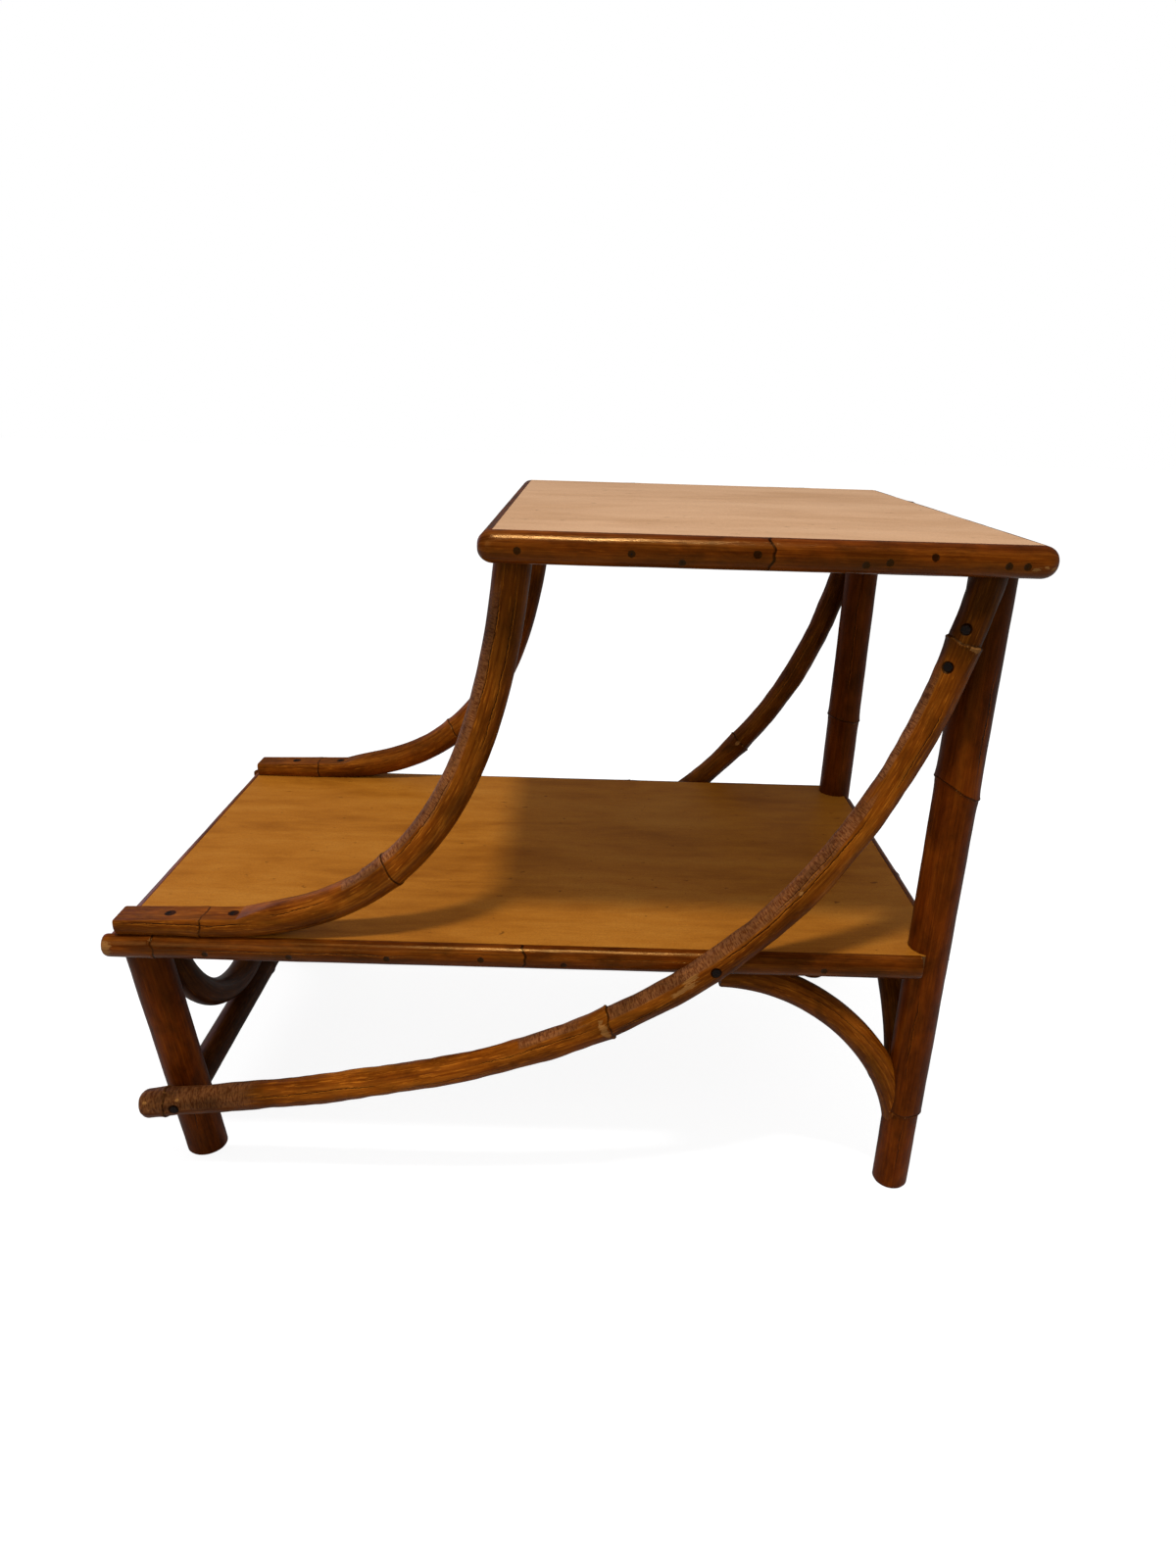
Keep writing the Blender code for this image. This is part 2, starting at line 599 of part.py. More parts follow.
def spike_mesh(spikes, sections_of):
    """One mesh of nails, or of their holes, each a profile turned round its own axis."""
    shape = bmesh.new()
    for start, direction, length in spikes:
        sections = sections_of(length)
        profile = [(0.0, sections[0][1]), *sections, (0.0, sections[-1][1])]
        turn = Vector((0, 0, 1)).rotation_difference(Vector(direction)).to_matrix().to_4x4()
        place = Matrix.Translation(start) @ turn @ Matrix.Rotation(NAIL_TWIST, 4, "Z")
        knots = [shape.verts.new((radius, 0.0, along)) for radius, along in profile]
        edges = [shape.edges.new(pair) for pair in zip(knots, knots[1:])]
        before = set(shape.verts) - set(knots)
        bmesh.ops.spin(shape, geom=knots + edges, cent=(0, 0, 0), axis=(0, 0, 1),
                       angle=math.tau, steps=NAIL_SIDES)
        turned = [vertex for vertex in shape.verts if vertex not in before]
        bmesh.ops.remove_doubles(shape, verts=turned, dist=WELD)
        turned = [vertex for vertex in shape.verts if vertex not in before]
        bmesh.ops.transform(shape, matrix=place, verts=turned)
    bmesh.ops.recalc_face_normals(shape, faces=shape.faces)
    mesh = bpy.data.meshes.new("spikes")
    shape.to_mesh(mesh)
    shape.free()
    return mesh


def drive(kind, spikes, into, head=NAIL_HEAD_RADIUS, shank=NAIL_SHANK_RADIUS):
    """Nails, screws or headless pins, and their holes in the pieces that they hold.

    Each named spike has the point of its outer end, its direction and its length.
    """
    wide = shank + GAP
    bottom = HEAD_THICKNESS + GAP

    def solid(length):
        body = ((shank, HEAD_THICKNESS), (shank, length))
        return ((head, 0.0), (head, HEAD_THICKNESS)) + body if head else ((shank, 0.0), body[1])

    def hole(length):
        body = ((wide, bottom), (wide, length + GAP))
        mouth = head + GAP
        return ((mouth, -OVERRUN), (mouth, bottom)) + body if head else ((wide, -GAP), body[1])

    for name, spike in spikes.items():
        add_piece(name, spike_mesh([spike], solid), NAIL, metallic=0.6)
    holes = add_cutter(kind + "_holes", spike_mesh(spikes.values(), hole))
    for target in into:
        cut(pieces[target], holes)


def nail_rails():
    """Two nails through each rail's planed end into the shelf."""
    spikes = {}
    for side, sign in SIDES:
        for place, share in zip(("outer", "inner"), RAIL_NAIL_SHARES):
            spot = share * OPEN_SHELF_LENGTH
            height = planed_height(spot)
            length = height - SHELF_HEIGHT + VENEER_THICKNESS + HOLD_IN_SHELF
            start = (RAIL_LEFT + spot, sign * RAIL_Y, height)
            spikes[f"{side}_rail_{place}_nail"] = (start, (0, 0, -1), length)
    drive("rail_nail", spikes, ("front_step_rail", "rear_step_rail", "shelf_veneer", "shelf_core"))


def nail_braces():
    """Each long brace is nailed to its short leg, to the shelf's edge and twice to its tall leg."""
    radius = BRACE_DIAMETER / 2
    spikes = {}
    for side, sign, *shape in BRACES:
        route = brace_route(sign, *shape)
        beside_axis = short_leg_centre(sign, BRACE_END_HEIGHT).x + BRACE_FOOT_NAIL_SHIFT
        centre = crossing(route, 0, beside_axis)
        leg_y = short_leg_centre(sign, centre.z).y
        spots = [("foot", centre, centre.x, leg_y, SHORT_LEG_DIAMETER)]
        for place, drop in zip(("top", "upper"), BRACE_NAIL_DROPS):
            centre = crossing(route, 2, TOP_UNDERSIDE - drop)
            spots.append((place, centre, TALL_LEG_X, sign * TALL_LEG_Y, TALL_LEG_DIAMETER))
        for place, centre, leg_x, leg_y, leg_diameter in spots:
            way = Vector((leg_x, leg_y, centre.z)) - centre
            length = radius + way.length - leg_diameter / 2 + HOLD_IN_LEG
            spikes[f"{side}_brace_{place}_nail"] = (centre - way.normalized() * radius, way, length)
        start = crossing(route, 2, SHELF_CORE_MIDDLE + BRACE_NAIL_RISE)
        start.y += sign * radius
        point = Vector((start.x, sign * (SHELF_DEPTH / 2 - HOLD_IN_SHELF), SHELF_CORE_MIDDLE))
        spikes[f"{side}_brace_shelf_nail"] = (start, point - start, (point - start).length)
    drive("brace_nail", spikes,
          ("front_long_brace", "rear_long_brace", "front_short_leg", "rear_short_leg",
           "front_tall_leg", "rear_tall_leg", "shelf_front_trim_right", "shelf_rear_trim",
           "shelf_core"))


def foot_nail(route, leg_y, diameter):
    """A nail square through an arch's foot, from its hollow side into the leg."""
    near = TALL_LEG_DIAMETER / 2 + ARCH_NAIL_CLEARANCE
    for before, point in zip(route, route[1:]):
        toward = Vector((TALL_LEG_X - point.x, leg_y - point.y, 0))
        if toward.length <= near:
            break
    to_face = toward.length - TALL_LEG_DIAMETER / 2
    along = (point - before).normalized()
    toward.normalize()
    way = (toward - along * toward.dot(along)).normalized()
    length = diameter / 2 + to_face / way.dot(toward) + HOLD_IN_LEG
    return point - way * diameter / 2, way, length


def nail_arches():
    """A nail through each foot of the arches into its leg."""
    spikes = {}
    for side, sign in SIDES:
        leg_y = sign * TALL_LEG_Y
        spikes[f"{side}_arch_nail"] = foot_nail(arch_route(sign), leg_y, ARCH_DIAMETER)
        spikes[f"{side}_side_arch_nail"] = foot_nail(side_arch_route()[::sign], leg_y,
                                                     SIDE_ARCH_DIAMETER)
    drive("arch_nail", spikes, ("front_arch_brace", "rear_arch_brace", "right_side_arch",
                                "front_tall_leg", "rear_tall_leg"))


def pin_top():
    """Headless pins under the top's veneer, down into the six canes that carry it."""
    start = TABLE_HEIGHT - VENEER_THICKNESS - PIN_COVER
    length = start - TOP_UNDERSIDE + HOLD_IN_LEG
    spikes = {}
    for (side, sign, rail_handles), (_, _, *brace_shape) in zip(RAILS, BRACES):
        rail = crossing(rail_path(rail_handles), 1, TOP_UNDERSIDE)
        brace = crossing(brace_route(sign, *brace_shape), 2, TOP_UNDERSIDE)
        for name, x, y in (("tall_leg", TALL_LEG_X, sign * TALL_LEG_Y),
                           ("rail", rail[0], sign * RAIL_Y), ("brace", brace.x, brace.y)):
            spikes[f"{side}_{name}_top_pin"] = ((x, y, start), (0, 0, -1), length)
    drive("top_pin", spikes,
          ("top_core", "front_tall_leg", "rear_tall_leg", "front_step_rail", "rear_step_rail",
           "front_long_brace", "rear_long_brace"), head=0)


def pin_shelf():
    """Headless pins under the shelf's veneer, down into the canes below it."""
    start = SHELF_HEIGHT - VENEER_THICKNESS - PIN_COVER
    length = start - SHELF_UNDERSIDE + HOLD_IN_CANE
    places = {"side_arch_pin": (SIDE_ARCH_X, 0)}
    for side, sign in SIDES:
        leg = short_leg_centre(sign, SHELF_UNDERSIDE)
        places[f"{side}_short_leg_pin"] = (leg.x, leg.y)
        places[f"{side}_hoop_pin"] = (leg.x, sign * HOOP_HALF_WIDTH)
        places[f"{side}_arch_pin"] = (TALL_LEG_X - ARCH_REACH + ARCH_PIN_SPOT, sign * TALL_LEG_Y)
    spikes = {name: ((x, y, start), (0, 0, -1), length) for name, (x, y) in places.items()}
    drive("shelf_pin", spikes,
          ("shelf_core", "front_short_leg", "rear_short_leg", "left_hoop", "right_side_arch",
           "front_arch_brace", "rear_arch_brace"), head=0)


def pin_stretcher():
    """A headless pin through each short leg into the stretcher."""
    spikes = {}
    for side, sign in SIDES:
        start = short_leg_centre(sign, STRETCHER_HEIGHT)
        start.y += sign * (SHORT_LEG_DIAMETER / 2 - PIN_COVER)
        length = SHORT_LEG_DIAMETER + HOLD_IN_CANE
        spikes[f"{side}_stretcher_pin"] = (start, (0, -sign, 0), length)
    drive("stretcher_pin", spikes, ("front_short_leg", "rear_short_leg", "left_stretcher"), head=0)


def screw_tall_legs():
    """A screw through each tall leg into the shelf."""
    spikes = {}
    for side, sign in SIDES:
        start = (TALL_LEG_X + TALL_LEG_DIAMETER / 2, sign * TALL_LEG_Y, SHELF_CORE_MIDDLE)
        spikes[f"{side}_leg_screw"] = (start, (-1, 0, 0), TALL_LEG_DIAMETER + HOLD_IN_SHELF)
    drive("leg_screw", spikes, ("front_tall_leg", "rear_tall_leg", "shelf_core"),
          head=SCREW_HEAD_RADIUS, shank=SCREW_SHANK_RADIUS)


clear_scene()
table = new_collection("two_tier_side_table")
cutters = new_collection("cutters")
build_panel("top", TOP_LEFT, TOP_RIGHT, TOP_DEPTH, TABLE_HEIGHT, TOP_CORE_THICKNESS)
build_panel("shelf", SHELF_LEFT, SHELF_RIGHT, SHELF_DEPTH, SHELF_HEIGHT, SHELF_CORE_THICKNESS)
build_trims()
build_tall_legs()
build_short_legs()
build_step_rails()
build_long_braces()
build_arches()
build_left_end()
nail_rails()
nail_braces()
nail_arches()
pin_top()
pin_shelf()
pin_stretcher()
screw_tall_legs()
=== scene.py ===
"""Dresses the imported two-tier side table: lacquered cane, split cane trims and veneered panels.

Metres, +Z up, the front at -Y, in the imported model's own frame. Each operator makes one group of
pieces, and the stage operator adds the floor, the lamps and the camera.
"""

import math
from bisect import bisect_right
from functools import cache, partial

import bmesh
import bpy
from mathutils import Matrix, Vector, noise


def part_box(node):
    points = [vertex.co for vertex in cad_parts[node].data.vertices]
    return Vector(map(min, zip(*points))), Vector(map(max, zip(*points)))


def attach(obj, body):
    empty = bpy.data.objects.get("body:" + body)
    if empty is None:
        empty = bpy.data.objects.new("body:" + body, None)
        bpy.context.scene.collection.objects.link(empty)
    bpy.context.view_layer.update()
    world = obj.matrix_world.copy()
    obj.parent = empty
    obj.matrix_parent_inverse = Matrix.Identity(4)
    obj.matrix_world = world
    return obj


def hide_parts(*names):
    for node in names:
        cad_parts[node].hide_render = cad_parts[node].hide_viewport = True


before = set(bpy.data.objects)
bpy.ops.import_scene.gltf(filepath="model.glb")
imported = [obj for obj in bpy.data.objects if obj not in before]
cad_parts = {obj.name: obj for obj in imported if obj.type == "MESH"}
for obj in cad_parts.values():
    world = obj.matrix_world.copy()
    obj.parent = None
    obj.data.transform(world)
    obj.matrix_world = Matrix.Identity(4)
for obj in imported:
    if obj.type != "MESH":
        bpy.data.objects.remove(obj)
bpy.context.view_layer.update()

bl_info = {
    "name": "Two-tier cane side table",
    "version": (1, 0, 0),
    "blender": (4, 5, 0),
    "location": "3D View > Sidebar > Cane Table",
    "description": "Lacquered cane, split trims, veneers, nails and a plain stage",
    "category": "Object",
}

SIDES = (("front", -1), ("rear", 1))
OUTWARD = {"front": (0, -1, 0), "rear": (0, 1, 0), "left": (-1, 0, 0), "right": (1, 0, 0)}

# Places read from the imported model
TOP_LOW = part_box("top_core")[0]
SHELF_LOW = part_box("shelf_core")[0]
SHELF_FACE_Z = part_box("shelf_veneer")[1].z
LEG_LOW, LEG_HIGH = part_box("rear_tall_leg")
TALL_LEG_X = (LEG_LOW.x + LEG_HIGH.x) / 2
TALL_LEG_Y = (LEG_LOW.y + LEG_HIGH.y) / 2
LEFT_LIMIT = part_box("shelf_rear_trim")[0].x
RAIL_LOW, RAIL_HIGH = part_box("front_step_rail")

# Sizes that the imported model's boxes don't give. A cane is drawn past a cut by the overrun.
GAP = 0.0003
OVERRUN = 0.012
NODE_SWELL = 0.05
TALL_LEG_DIAMETER = 0.033
TALL_LEG_FOOT_HEIGHT = 0.078
TALL_LEG_FOOT_DIAMETER = 0.0295
SHORT_LEG_DIAMETER = 0.034
RAIL_DIAMETER = 0.027
BRACE_DIAMETER = 0.0245
ARCH_DIAMETER = 0.0235
SIDE_ARCH_DIAMETER = 0.025
STRETCHER_DIAMETER = 0.025
HOOP_DIAMETER = 0.026

# The bends of the canes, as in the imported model
RAIL_SEAT_FLAT = 0.004
RAIL_FLAT_LENGTH = 0.0721
RAIL_TOP_INSET = 0.0125
RAIL_PLANED_LENGTH = 0.0951
RAIL_PLANED_HEIGHT = 0.014
RAIL_PLANED_RISE = 0.003
RAIL_RUN_OUT_SLOPE = 0.34
RAIL_EDGE_ROUNDING = 0.0022
FRONT_RAIL_HANDLES = ((0.809, 0.0), (0.949, 0.584))
REAR_RAIL_HANDLES = ((0.865, 0.0), (0.961, 0.602))
BRACE_END_INSET = 0.0105
BRACE_END_HEIGHT = 0.0715
FRONT_BRACE_BEND = (-0.0115, ((0.635, 0.086), (0.940, 0.419)))
REAR_BRACE_BEND = (0.0, ((0.672, 0.004), (0.960, 0.450)))
ARCH_REACH = 0.1655
ARCH_DROP = 0.1685
ARCH_HANDLE = 0.51
SIDE_ARCH_DROP = 0.118
SIDE_ARCH_INSET = 0.006
STRETCHER_HEIGHT = 0.0625
HOOP_HALF_WIDTH = 0.1325

# Where rings stand near each kind of end, and how far the lacquer is rubbed off there
END_RINGS = {
    "domed": (0.0002, 0.0006, 0.0012, 0.002, 0.003, 0.0042, 0.0058, 0.0076, 0.0095),
    "round": (0.0003, 0.0009, 0.0018, 0.003, 0.0045, 0.006),
    "sawn": (0.0004, 0.0012),
    "joint": (0.0006, 0.0015, 0.003, 0.0055, 0.0085, 0.012),
    "hidden": (),
}
END_RUBS = {"domed": 0.20, "round": 0.15, "sawn": 0.40}
# Cracks that lie side by side go to different lanes
CRACK_LANES = ("split_a", "split_b")
# How much of a cane's end is drawn in to fit round a leg, and in what steps the fit is sought
COPE_SPAN = 0.034
COPE_STEP = 0.0004
RING_STEP = 0.0006
NODE_REACH = 0.06
NAIL_HEAD_HEIGHT = 0.0012
NAIL_PIT_DEPTH = 0.0011
NAIL_PIT_RADIUS = 0.0042
BRAD_PIT_RADIUS = 0.0024
BRAD_PIT_DEPTH = 0.0006
BRAD_SINK = 0.0010

# Marks along the canes. An angle of 0 is the rear, a quarter turn the top, a half the front.
# nodes: share of the length, height of the ledge (below 0 on the far side), slant.
# cracks: start, end, angle, half width. worn: distance, angle, half length, half width.
# tones: share of the length, lacquer lightness; dips under the top and the shelf are painted shade.
# skin: start, end, lowest and highest angle of pale skin with a painted pinkish sheen.
PLAIN = {"nodes": (), "cracks": (), "worn": (), "tones_and_shade": ((0, 1), (1, 1)), "skin": (),
         "dents": ()}
FRONT_RAIL = {
    "nodes": ((0.131, 0.0003, 0.0012), (0.452, 0.0005, 0.0015)),
    "cracks": ((0.004, 0.110, 2.95, 0.0003), (0.120, 0.175, 2.55, 0.0003),
               (0.235, 0.330, 2.60, 0.0003), (0.012, 0.060, 2.35, 0.0002),
               (0.345, 0.480, 3.55, 0.0003), (0.375, 0.470, 2.75, 0.0003)),
    # The rail's skin is mostly a painted sheen along its left flank.
    "skin": ((0.185, 0.340, 0.9, 2.42), (0.275, 0.490, 0.9, 2.72)),
    "tones_and_shade": ((0, 0.85), (0.18, 1.0), (0.4, 1.0), (0.6, 1.1), (0.75, 1.0), (0.86, 0.7), (1, 0.6)),
}
REAR_RAIL = {
    "nodes": ((0.131, 0.0003, -0.001), (0.452, 0.0005, 0.001), (0.902, 0.0007, 0.001)),
    "cracks": ((0.010, 0.090, 2.8, 0.0003), (0.260, 0.350, 2.4, 0.0003)),
    "tones_and_shade": ((0, 0.85), (0.3, 0.8), (0.6, 0.95), (0.85, 0.6), (1, 0.5)),
}
FRONT_BRACE = {
    "nodes": ((0.0245, 0.0007, 0.001), (0.4706, 0.0017, 0.0022), (0.929, 0.0012, 0.001)),
    "cracks": ((0.095, 0.215, 2.75, 0.00035), (0.215, 0.330, 3.35, 0.0003),
               (0.285, 0.400, 2.60, 0.0003), (0.415, 0.470, 3.25, 0.0005),
               (0.500, 0.672, 2.72, 0.00045), (0.560, 0.640, 2.35, 0.0003),
               (0.690, 0.760, 3.2, 0.0003)),
    "worn": ((0.4035, 2.95, 0.0045, 0.0110), (0.474, 2.95, 0.016, 0.0035),
             (0.484, 2.60, 0.010, 0.0030), (0.007, 2.5, 0.003, 0.0025), (0.010, 3.0, 0.002, 0.002),
             (0.034, 2.45, 0.002, 0.002), (0.590, 2.6, 0.004, 0.002), (0.803, 3.5, 0.0035, 0.006)),
    "tones_and_shade": ((0, 0.65), (0.09, 0.62), (0.20, 1.15), (0.42, 1.1), (0.47, 1.0), (0.48, 0.8),
              (0.60, 0.85), (0.75, 1.1), (0.90, 1.0), (0.93, 0.38), (1, 0.28)),
    "skin": ((0.0, 0.120, 1.2, 3.3), (0.330, 0.408, 1.2, 2.3), (0.410, 0.700, 1.1, 2.55),
             (0.690, 0.800, 1.1, 2.2)),
}
REAR_BRACE = {
    "nodes": ((0.0345, 0.0004, 0.001), (0.671, 0.0009, 0.001), (0.930, 0.0006, 0.001)),
    "cracks": ((0.300, 0.420, 2.7, 0.0003), (0.620, 0.740, 2.6, 0.0003)),
    "worn": ((0.596, 2.8, 0.005, 0.003),),
    "tones_and_shade": ((0, 0.9), (0.3, 0.9), (0.6, 0.7), (0.8, 0.65), (1, 0.4)),
}
FRONT_TALL_LEG = {
    "nodes": ((0.692, -0.0006, 0.0085),),
    "cracks": ((0.385, 0.470, 3.6, 0.0003), (0.230, 0.330, 4.1, 0.0003),
               (0.020, 0.070, 3.0, 0.0002), (0.110, 0.200, 2.7, 0.0002)),
    "tones_and_shade": ((0, 1.15), (0.14, 1.15), (0.16, 1.05), (0.55, 1.12), (0.72, 0.98), (0.85, 0.75),
              (1, 0.55)),
}
REAR_TALL_LEG = {
    "nodes": ((0.598, -0.0006, 0.003),),
    "cracks": ((0.350, 0.470, 2.9, 0.0003),),
    "tones_and_shade": ((0, 0.7), (0.4, 0.8), (0.8, 0.75), (1, 0.8)),
}
FRONT_SHORT_LEG = {
    "cracks": ((0.040, 0.100, 3.4, 0.0002), (0.120, 0.200, 2.6, 0.0002)),
    "tones_and_shade": ((0, 0.85), (0.3, 0.85), (0.6, 1.15), (0.8, 0.85), (0.9, 0.7), (1, 0.5)),
}
FRONT_ARCH = {
    "cracks": ((0.060, 0.150, 2.7, 0.00025),),
    "tones_and_shade": ((0, 0.75), (0.2, 0.8), (0.4, 1.05), (0.8, 0.95), (1, 0.9)),
}
# Painted shade: the canes under the shelf get a low tone all along.
SIDE_ARCH = {"nodes": ((0.27, 0.0, 0.001),), "tones_and_shade": ((0, 0.5), (1, 0.5))}
STRETCHER = {"nodes": ((0.62, 0.0003, 0.001),), "tones_and_shade": ((0, 0.4), (1, 0.4))}
HOOP = {"tones_and_shade": ((0, 0.3), (0.5, 0.4), (1, 0.3))}

# Nails in the front trims: distance from the trim's left end and height above its lowest line
TOP_LEFT_BRADS = ((0.0264, 0.0095), (0.0996, 0.0095), (0.1324, 0.0045), (0.1796, 0.0115))
TOP_RIGHT_BRADS = ((0.0610, 0.0065), (0.0760, 0.0085), (0.1045, 0.0130), (0.1523, 0.0085),
                   (0.1642, 0.0085))
SHELF_LEFT_BRADS = ((0.0816, 0.0080), (0.1470, 0.0075), (0.2235, 0.0085), (0.2970, 0.0100))
SHELF_RIGHT_BRADS = ((0.0319, 0.0070), (0.2357, 0.0085))
TRIMS = {
    "top_front_trim_left": (TOP_LEFT_BRADS, {"cracks": ((0.030, 0.110, -0.9, 0.0002),)}),
    "top_front_trim_right": (TOP_RIGHT_BRADS, {
        "worn": ((0.1700, 0.35, 0.0035, 0.0020), (0.1765, 0.20, 0.0025, 0.0018),
                 (0.1820, 0.35, 0.0030, 0.0022))}),
    "top_rear_trim": ((), {"nodes": ((0.31, 0.0002, 0.001), (0.78, 0.0002, 0.001))}),
    "top_left_trim": ((), {}),
    "top_right_trim": ((), {"nodes": ((0.71, 0.0002, 0.001),)}),
    "shelf_front_trim_left": (SHELF_LEFT_BRADS, {
        "nodes": ((0.122, 0.0004, 0.0008),), "worn": ((0.003, -0.1, 0.008, 0.0105),),
        "cracks": ((0.045, 0.250, -0.15, 0.0003), (0.250, 0.322, -0.5, 0.0002)),
        "tones_and_shade": ((0, 1.15), (0.1, 0.8), (1, 0.85))}),
    "shelf_front_trim_right": (SHELF_RIGHT_BRADS, {
        "cracks": ((0.010, 0.150, -0.3, 0.0002),), "tones_and_shade": ((0, 0.9), (1, 0.85))}),
    "shelf_rear_trim": ((), {"nodes": ((0.22, 0.0002, 0.001), (0.66, 0.0002, 0.001))}),
    "shelf_left_trim": ((), {}),
    "shelf_right_trim": ((), {"nodes": ((0.4, 0.0002, 0.001),)}),
}


def smooth(value, low, high):
    """0 below low, 1 above high, and smooth between them."""
    share = min(max((value - low) / (high - low), 0.0), 1.0)
    return share * share * (3 - 2 * share)


def lower_of(first, second, blend):
    """The lower of two heights, rounded over where they meet."""
    share = min(max(0.5 + (second - first) / (2 * blend), 0.0), 1.0)
    return second + (first - second) * share - blend * share * (1 - share)


def drift(place, seed):
    """Slow, repeatable unevenness between about -1 and 1."""
    return noise.noise(Vector(place) + Vector((seed * 7.3, seed * 3.1, 0)))


# Routes of the canes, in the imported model's frame


def straight(start, end, count=40):
    return [Vector(start).lerp(Vector(end), index / count) for index in range(count + 1)]


def sweep(start, end, handles, count=200):
    """A cubic bend in X and Z, with its handles as shares of the span."""
    span = Vector(end) - Vector(start)
    knots = [Vector(start)]
    knots += [Vector(start) + Vector((span.x * x, span.y * z)) for x, z in handles]
    knots.append(Vector(end))
    points = []
    for index in range(count + 1):
        t = index / count
        weights = ((1 - t) ** 3, 3 * t * (1 - t) ** 2, 3 * t * t * (1 - t), t ** 3)
        points.append(sum((knot * weight for knot, weight in zip(knots, weights)), Vector((0, 0))))
    return points


def half_oval(centre, across, up, count=120):
    turns = [math.pi * index / count for index in range(count + 1)]
    return [centre + across * math.cos(turn) + up * math.sin(turn) for turn in turns]


class Route:
    """A centre line that can be asked for a point and a direction at any distance along it."""

    def __init__(self, points):
        self.points = points
        self.lengths = [0.0]
        for before, after in zip(points, points[1:]):
            self.lengths.append(self.lengths[-1] + (after - before).length)
        self.total = self.lengths[-1]

    def at(self, distance):
        low = min(max(bisect_right(self.lengths, distance) - 1, 0), len(self.points) - 2)
        step = self.points[low + 1] - self.points[low]
        return self.points[low] + step * ((distance - self.lengths[low]) / step.length)

    def direction(self, distance):
        reach = 0.004
        ahead = min(distance + reach, self.total)
        behind = max(distance - reach, 0.0)
        return (self.at(ahead) - self.at(behind)).normalized()


def leg_line(sign):
    """Foot and head of a leaning left leg, front for sign -1."""
    low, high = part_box("front_short_leg" if sign < 0 else "rear_short_leg")
    radius = SHORT_LEG_DIAMETER / 2
    lean_x = high.x - low.x - 2 * radius
    lean_y = max(high.y - low.y - 2 * radius, 0.0)
    head_x = low.x + radius
    if sign < 0:
        head_y, foot_y = low.y + radius, low.y + radius + lean_y
    else:
        head_y, foot_y = high.y - radius - lean_y, high.y - radius
    return Vector((head_x + lean_x, foot_y, 0.0)), Vector((head_x, head_y, high.z))


def leg_centre(sign, height):
    foot, head = leg_line(sign)
    return foot.lerp(head, height / head.z)


def rail_route(sign):
    """Along the shelf, then bent up to the top's underside."""
    handles = FRONT_RAIL_HANDLES if sign < 0 else REAR_RAIL_HANDLES
    y = sign * abs((RAIL_LOW.y + RAIL_HIGH.y) / 2)
    lying = SHELF_FACE_Z + GAP + RAIL_DIAMETER / 2 - RAIL_SEAT_FLAT
    bend = (RAIL_LOW.x + RAIL_FLAT_LENGTH, lying)
    head = (TOP_LOW.x + RAIL_TOP_INSET, TOP_LOW.z + OVERRUN)
    path = [Vector((RAIL_LOW.x, lying)).lerp(Vector(bend), index / 20) for index in range(20)]
    path += sweep(bend, head, handles)
    return Route([Vector((x, y, z)) for x, z in path])


def crossing(path, axis, value):
    """Where a route's rising coordinate passes a value."""
    for before, after in zip(path, path[1:]):
        if before[axis] <= value <= after[axis]:
            return before.lerp(after, (value - before[axis]) / (after[axis] - before[axis]))
    return path[-1]


def brace_route(sign):
    """From outside the short leg, past the shelf's trim, to outside the tall leg."""
    shift, handles = FRONT_BRACE_BEND if sign < 0 else REAR_BRACE_BEND
    start = (LEFT_LIMIT + BRACE_END_INSET, BRACE_END_HEIGHT)
    path = sweep(start, (TALL_LEG_X + shift, TOP_LOW.z + OVERRUN), handles)
    radius = BRACE_DIAMETER / 2
    short_leg = leg_centre(sign, BRACE_END_HEIGHT + radius)
    swell = 1 + NODE_SWELL
    at_short_leg = abs(short_leg.y) + SHORT_LEG_DIAMETER / 2 + 2 * GAP + radius * swell
    at_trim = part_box("shelf_rear_trim")[1].y + GAP + radius
    reach = TALL_LEG_DIAMETER / 2 * swell + radius + 2 * GAP
    at_tall_leg = TALL_LEG_Y + math.sqrt(reach ** 2 - max(-shift, 0.0) ** 2)
    leaves_short_leg = short_leg.x + SHORT_LEG_DIAMETER / 2
    meets_trim = crossing(path, 1, SHELF_LOW.z - radius).x
    leaves_trim = crossing(path, 1, SHELF_FACE_Z + radius).x
    meets_tall_leg = TALL_LEG_X - TALL_LEG_DIAMETER
    points = []
    for x, z in path:
        out = at_short_leg + (at_trim - at_short_leg) * smooth(x, leaves_short_leg, meets_trim)
        out += (at_tall_leg - at_trim) * smooth(x, leaves_trim, meets_tall_leg)
        points.append(Vector((x, sign * out, z)))
    return Route(points)


def arch_route(sign):
    """From the crown under the shelf to the tall leg's axis."""
    crown_z = SHELF_LOW.z - GAP - ARCH_DIAMETER / 2
    crown = (TALL_LEG_X - ARCH_REACH, crown_z)
    path = sweep(crown, (TALL_LEG_X, crown_z - ARCH_DROP), ((ARCH_HANDLE, 0), (1, 1 - ARCH_HANDLE)))
    return Route([Vector((x, sign * TALL_LEG_Y, z)) for x, z in path])


def side_arch_route():
    """From the front tall leg's axis over to the rear one's."""
    top = SHELF_LOW.z - GAP - SIDE_ARCH_DIAMETER / 2
    centre = Vector((TALL_LEG_X - SIDE_ARCH_INSET, 0, top - SIDE_ARCH_DROP))
    return Route(half_oval(centre, Vector((0, -TALL_LEG_Y, 0)), Vector((0, 0, SIDE_ARCH_DROP))))


def hoop_route():
    """Down from the shelf, round on the stretcher and up again."""
    top = SHELF_LOW.z - GAP
    low_z = STRETCHER_HEIGHT + STRETCHER_DIAMETER / 2 + GAP + HOOP_DIAMETER / 2
    centre = Vector((leg_centre(-1, top).x, 0, top))
    low = Vector((leg_centre(-1, low_z).x, 0, low_z))
    return Route(half_oval(centre, Vector((0, -HOOP_HALF_WIDTH, 0)), low - centre))


# Shapes. An edge sharper than this many degrees stays crisp.
SHARP_ANGLE = 42
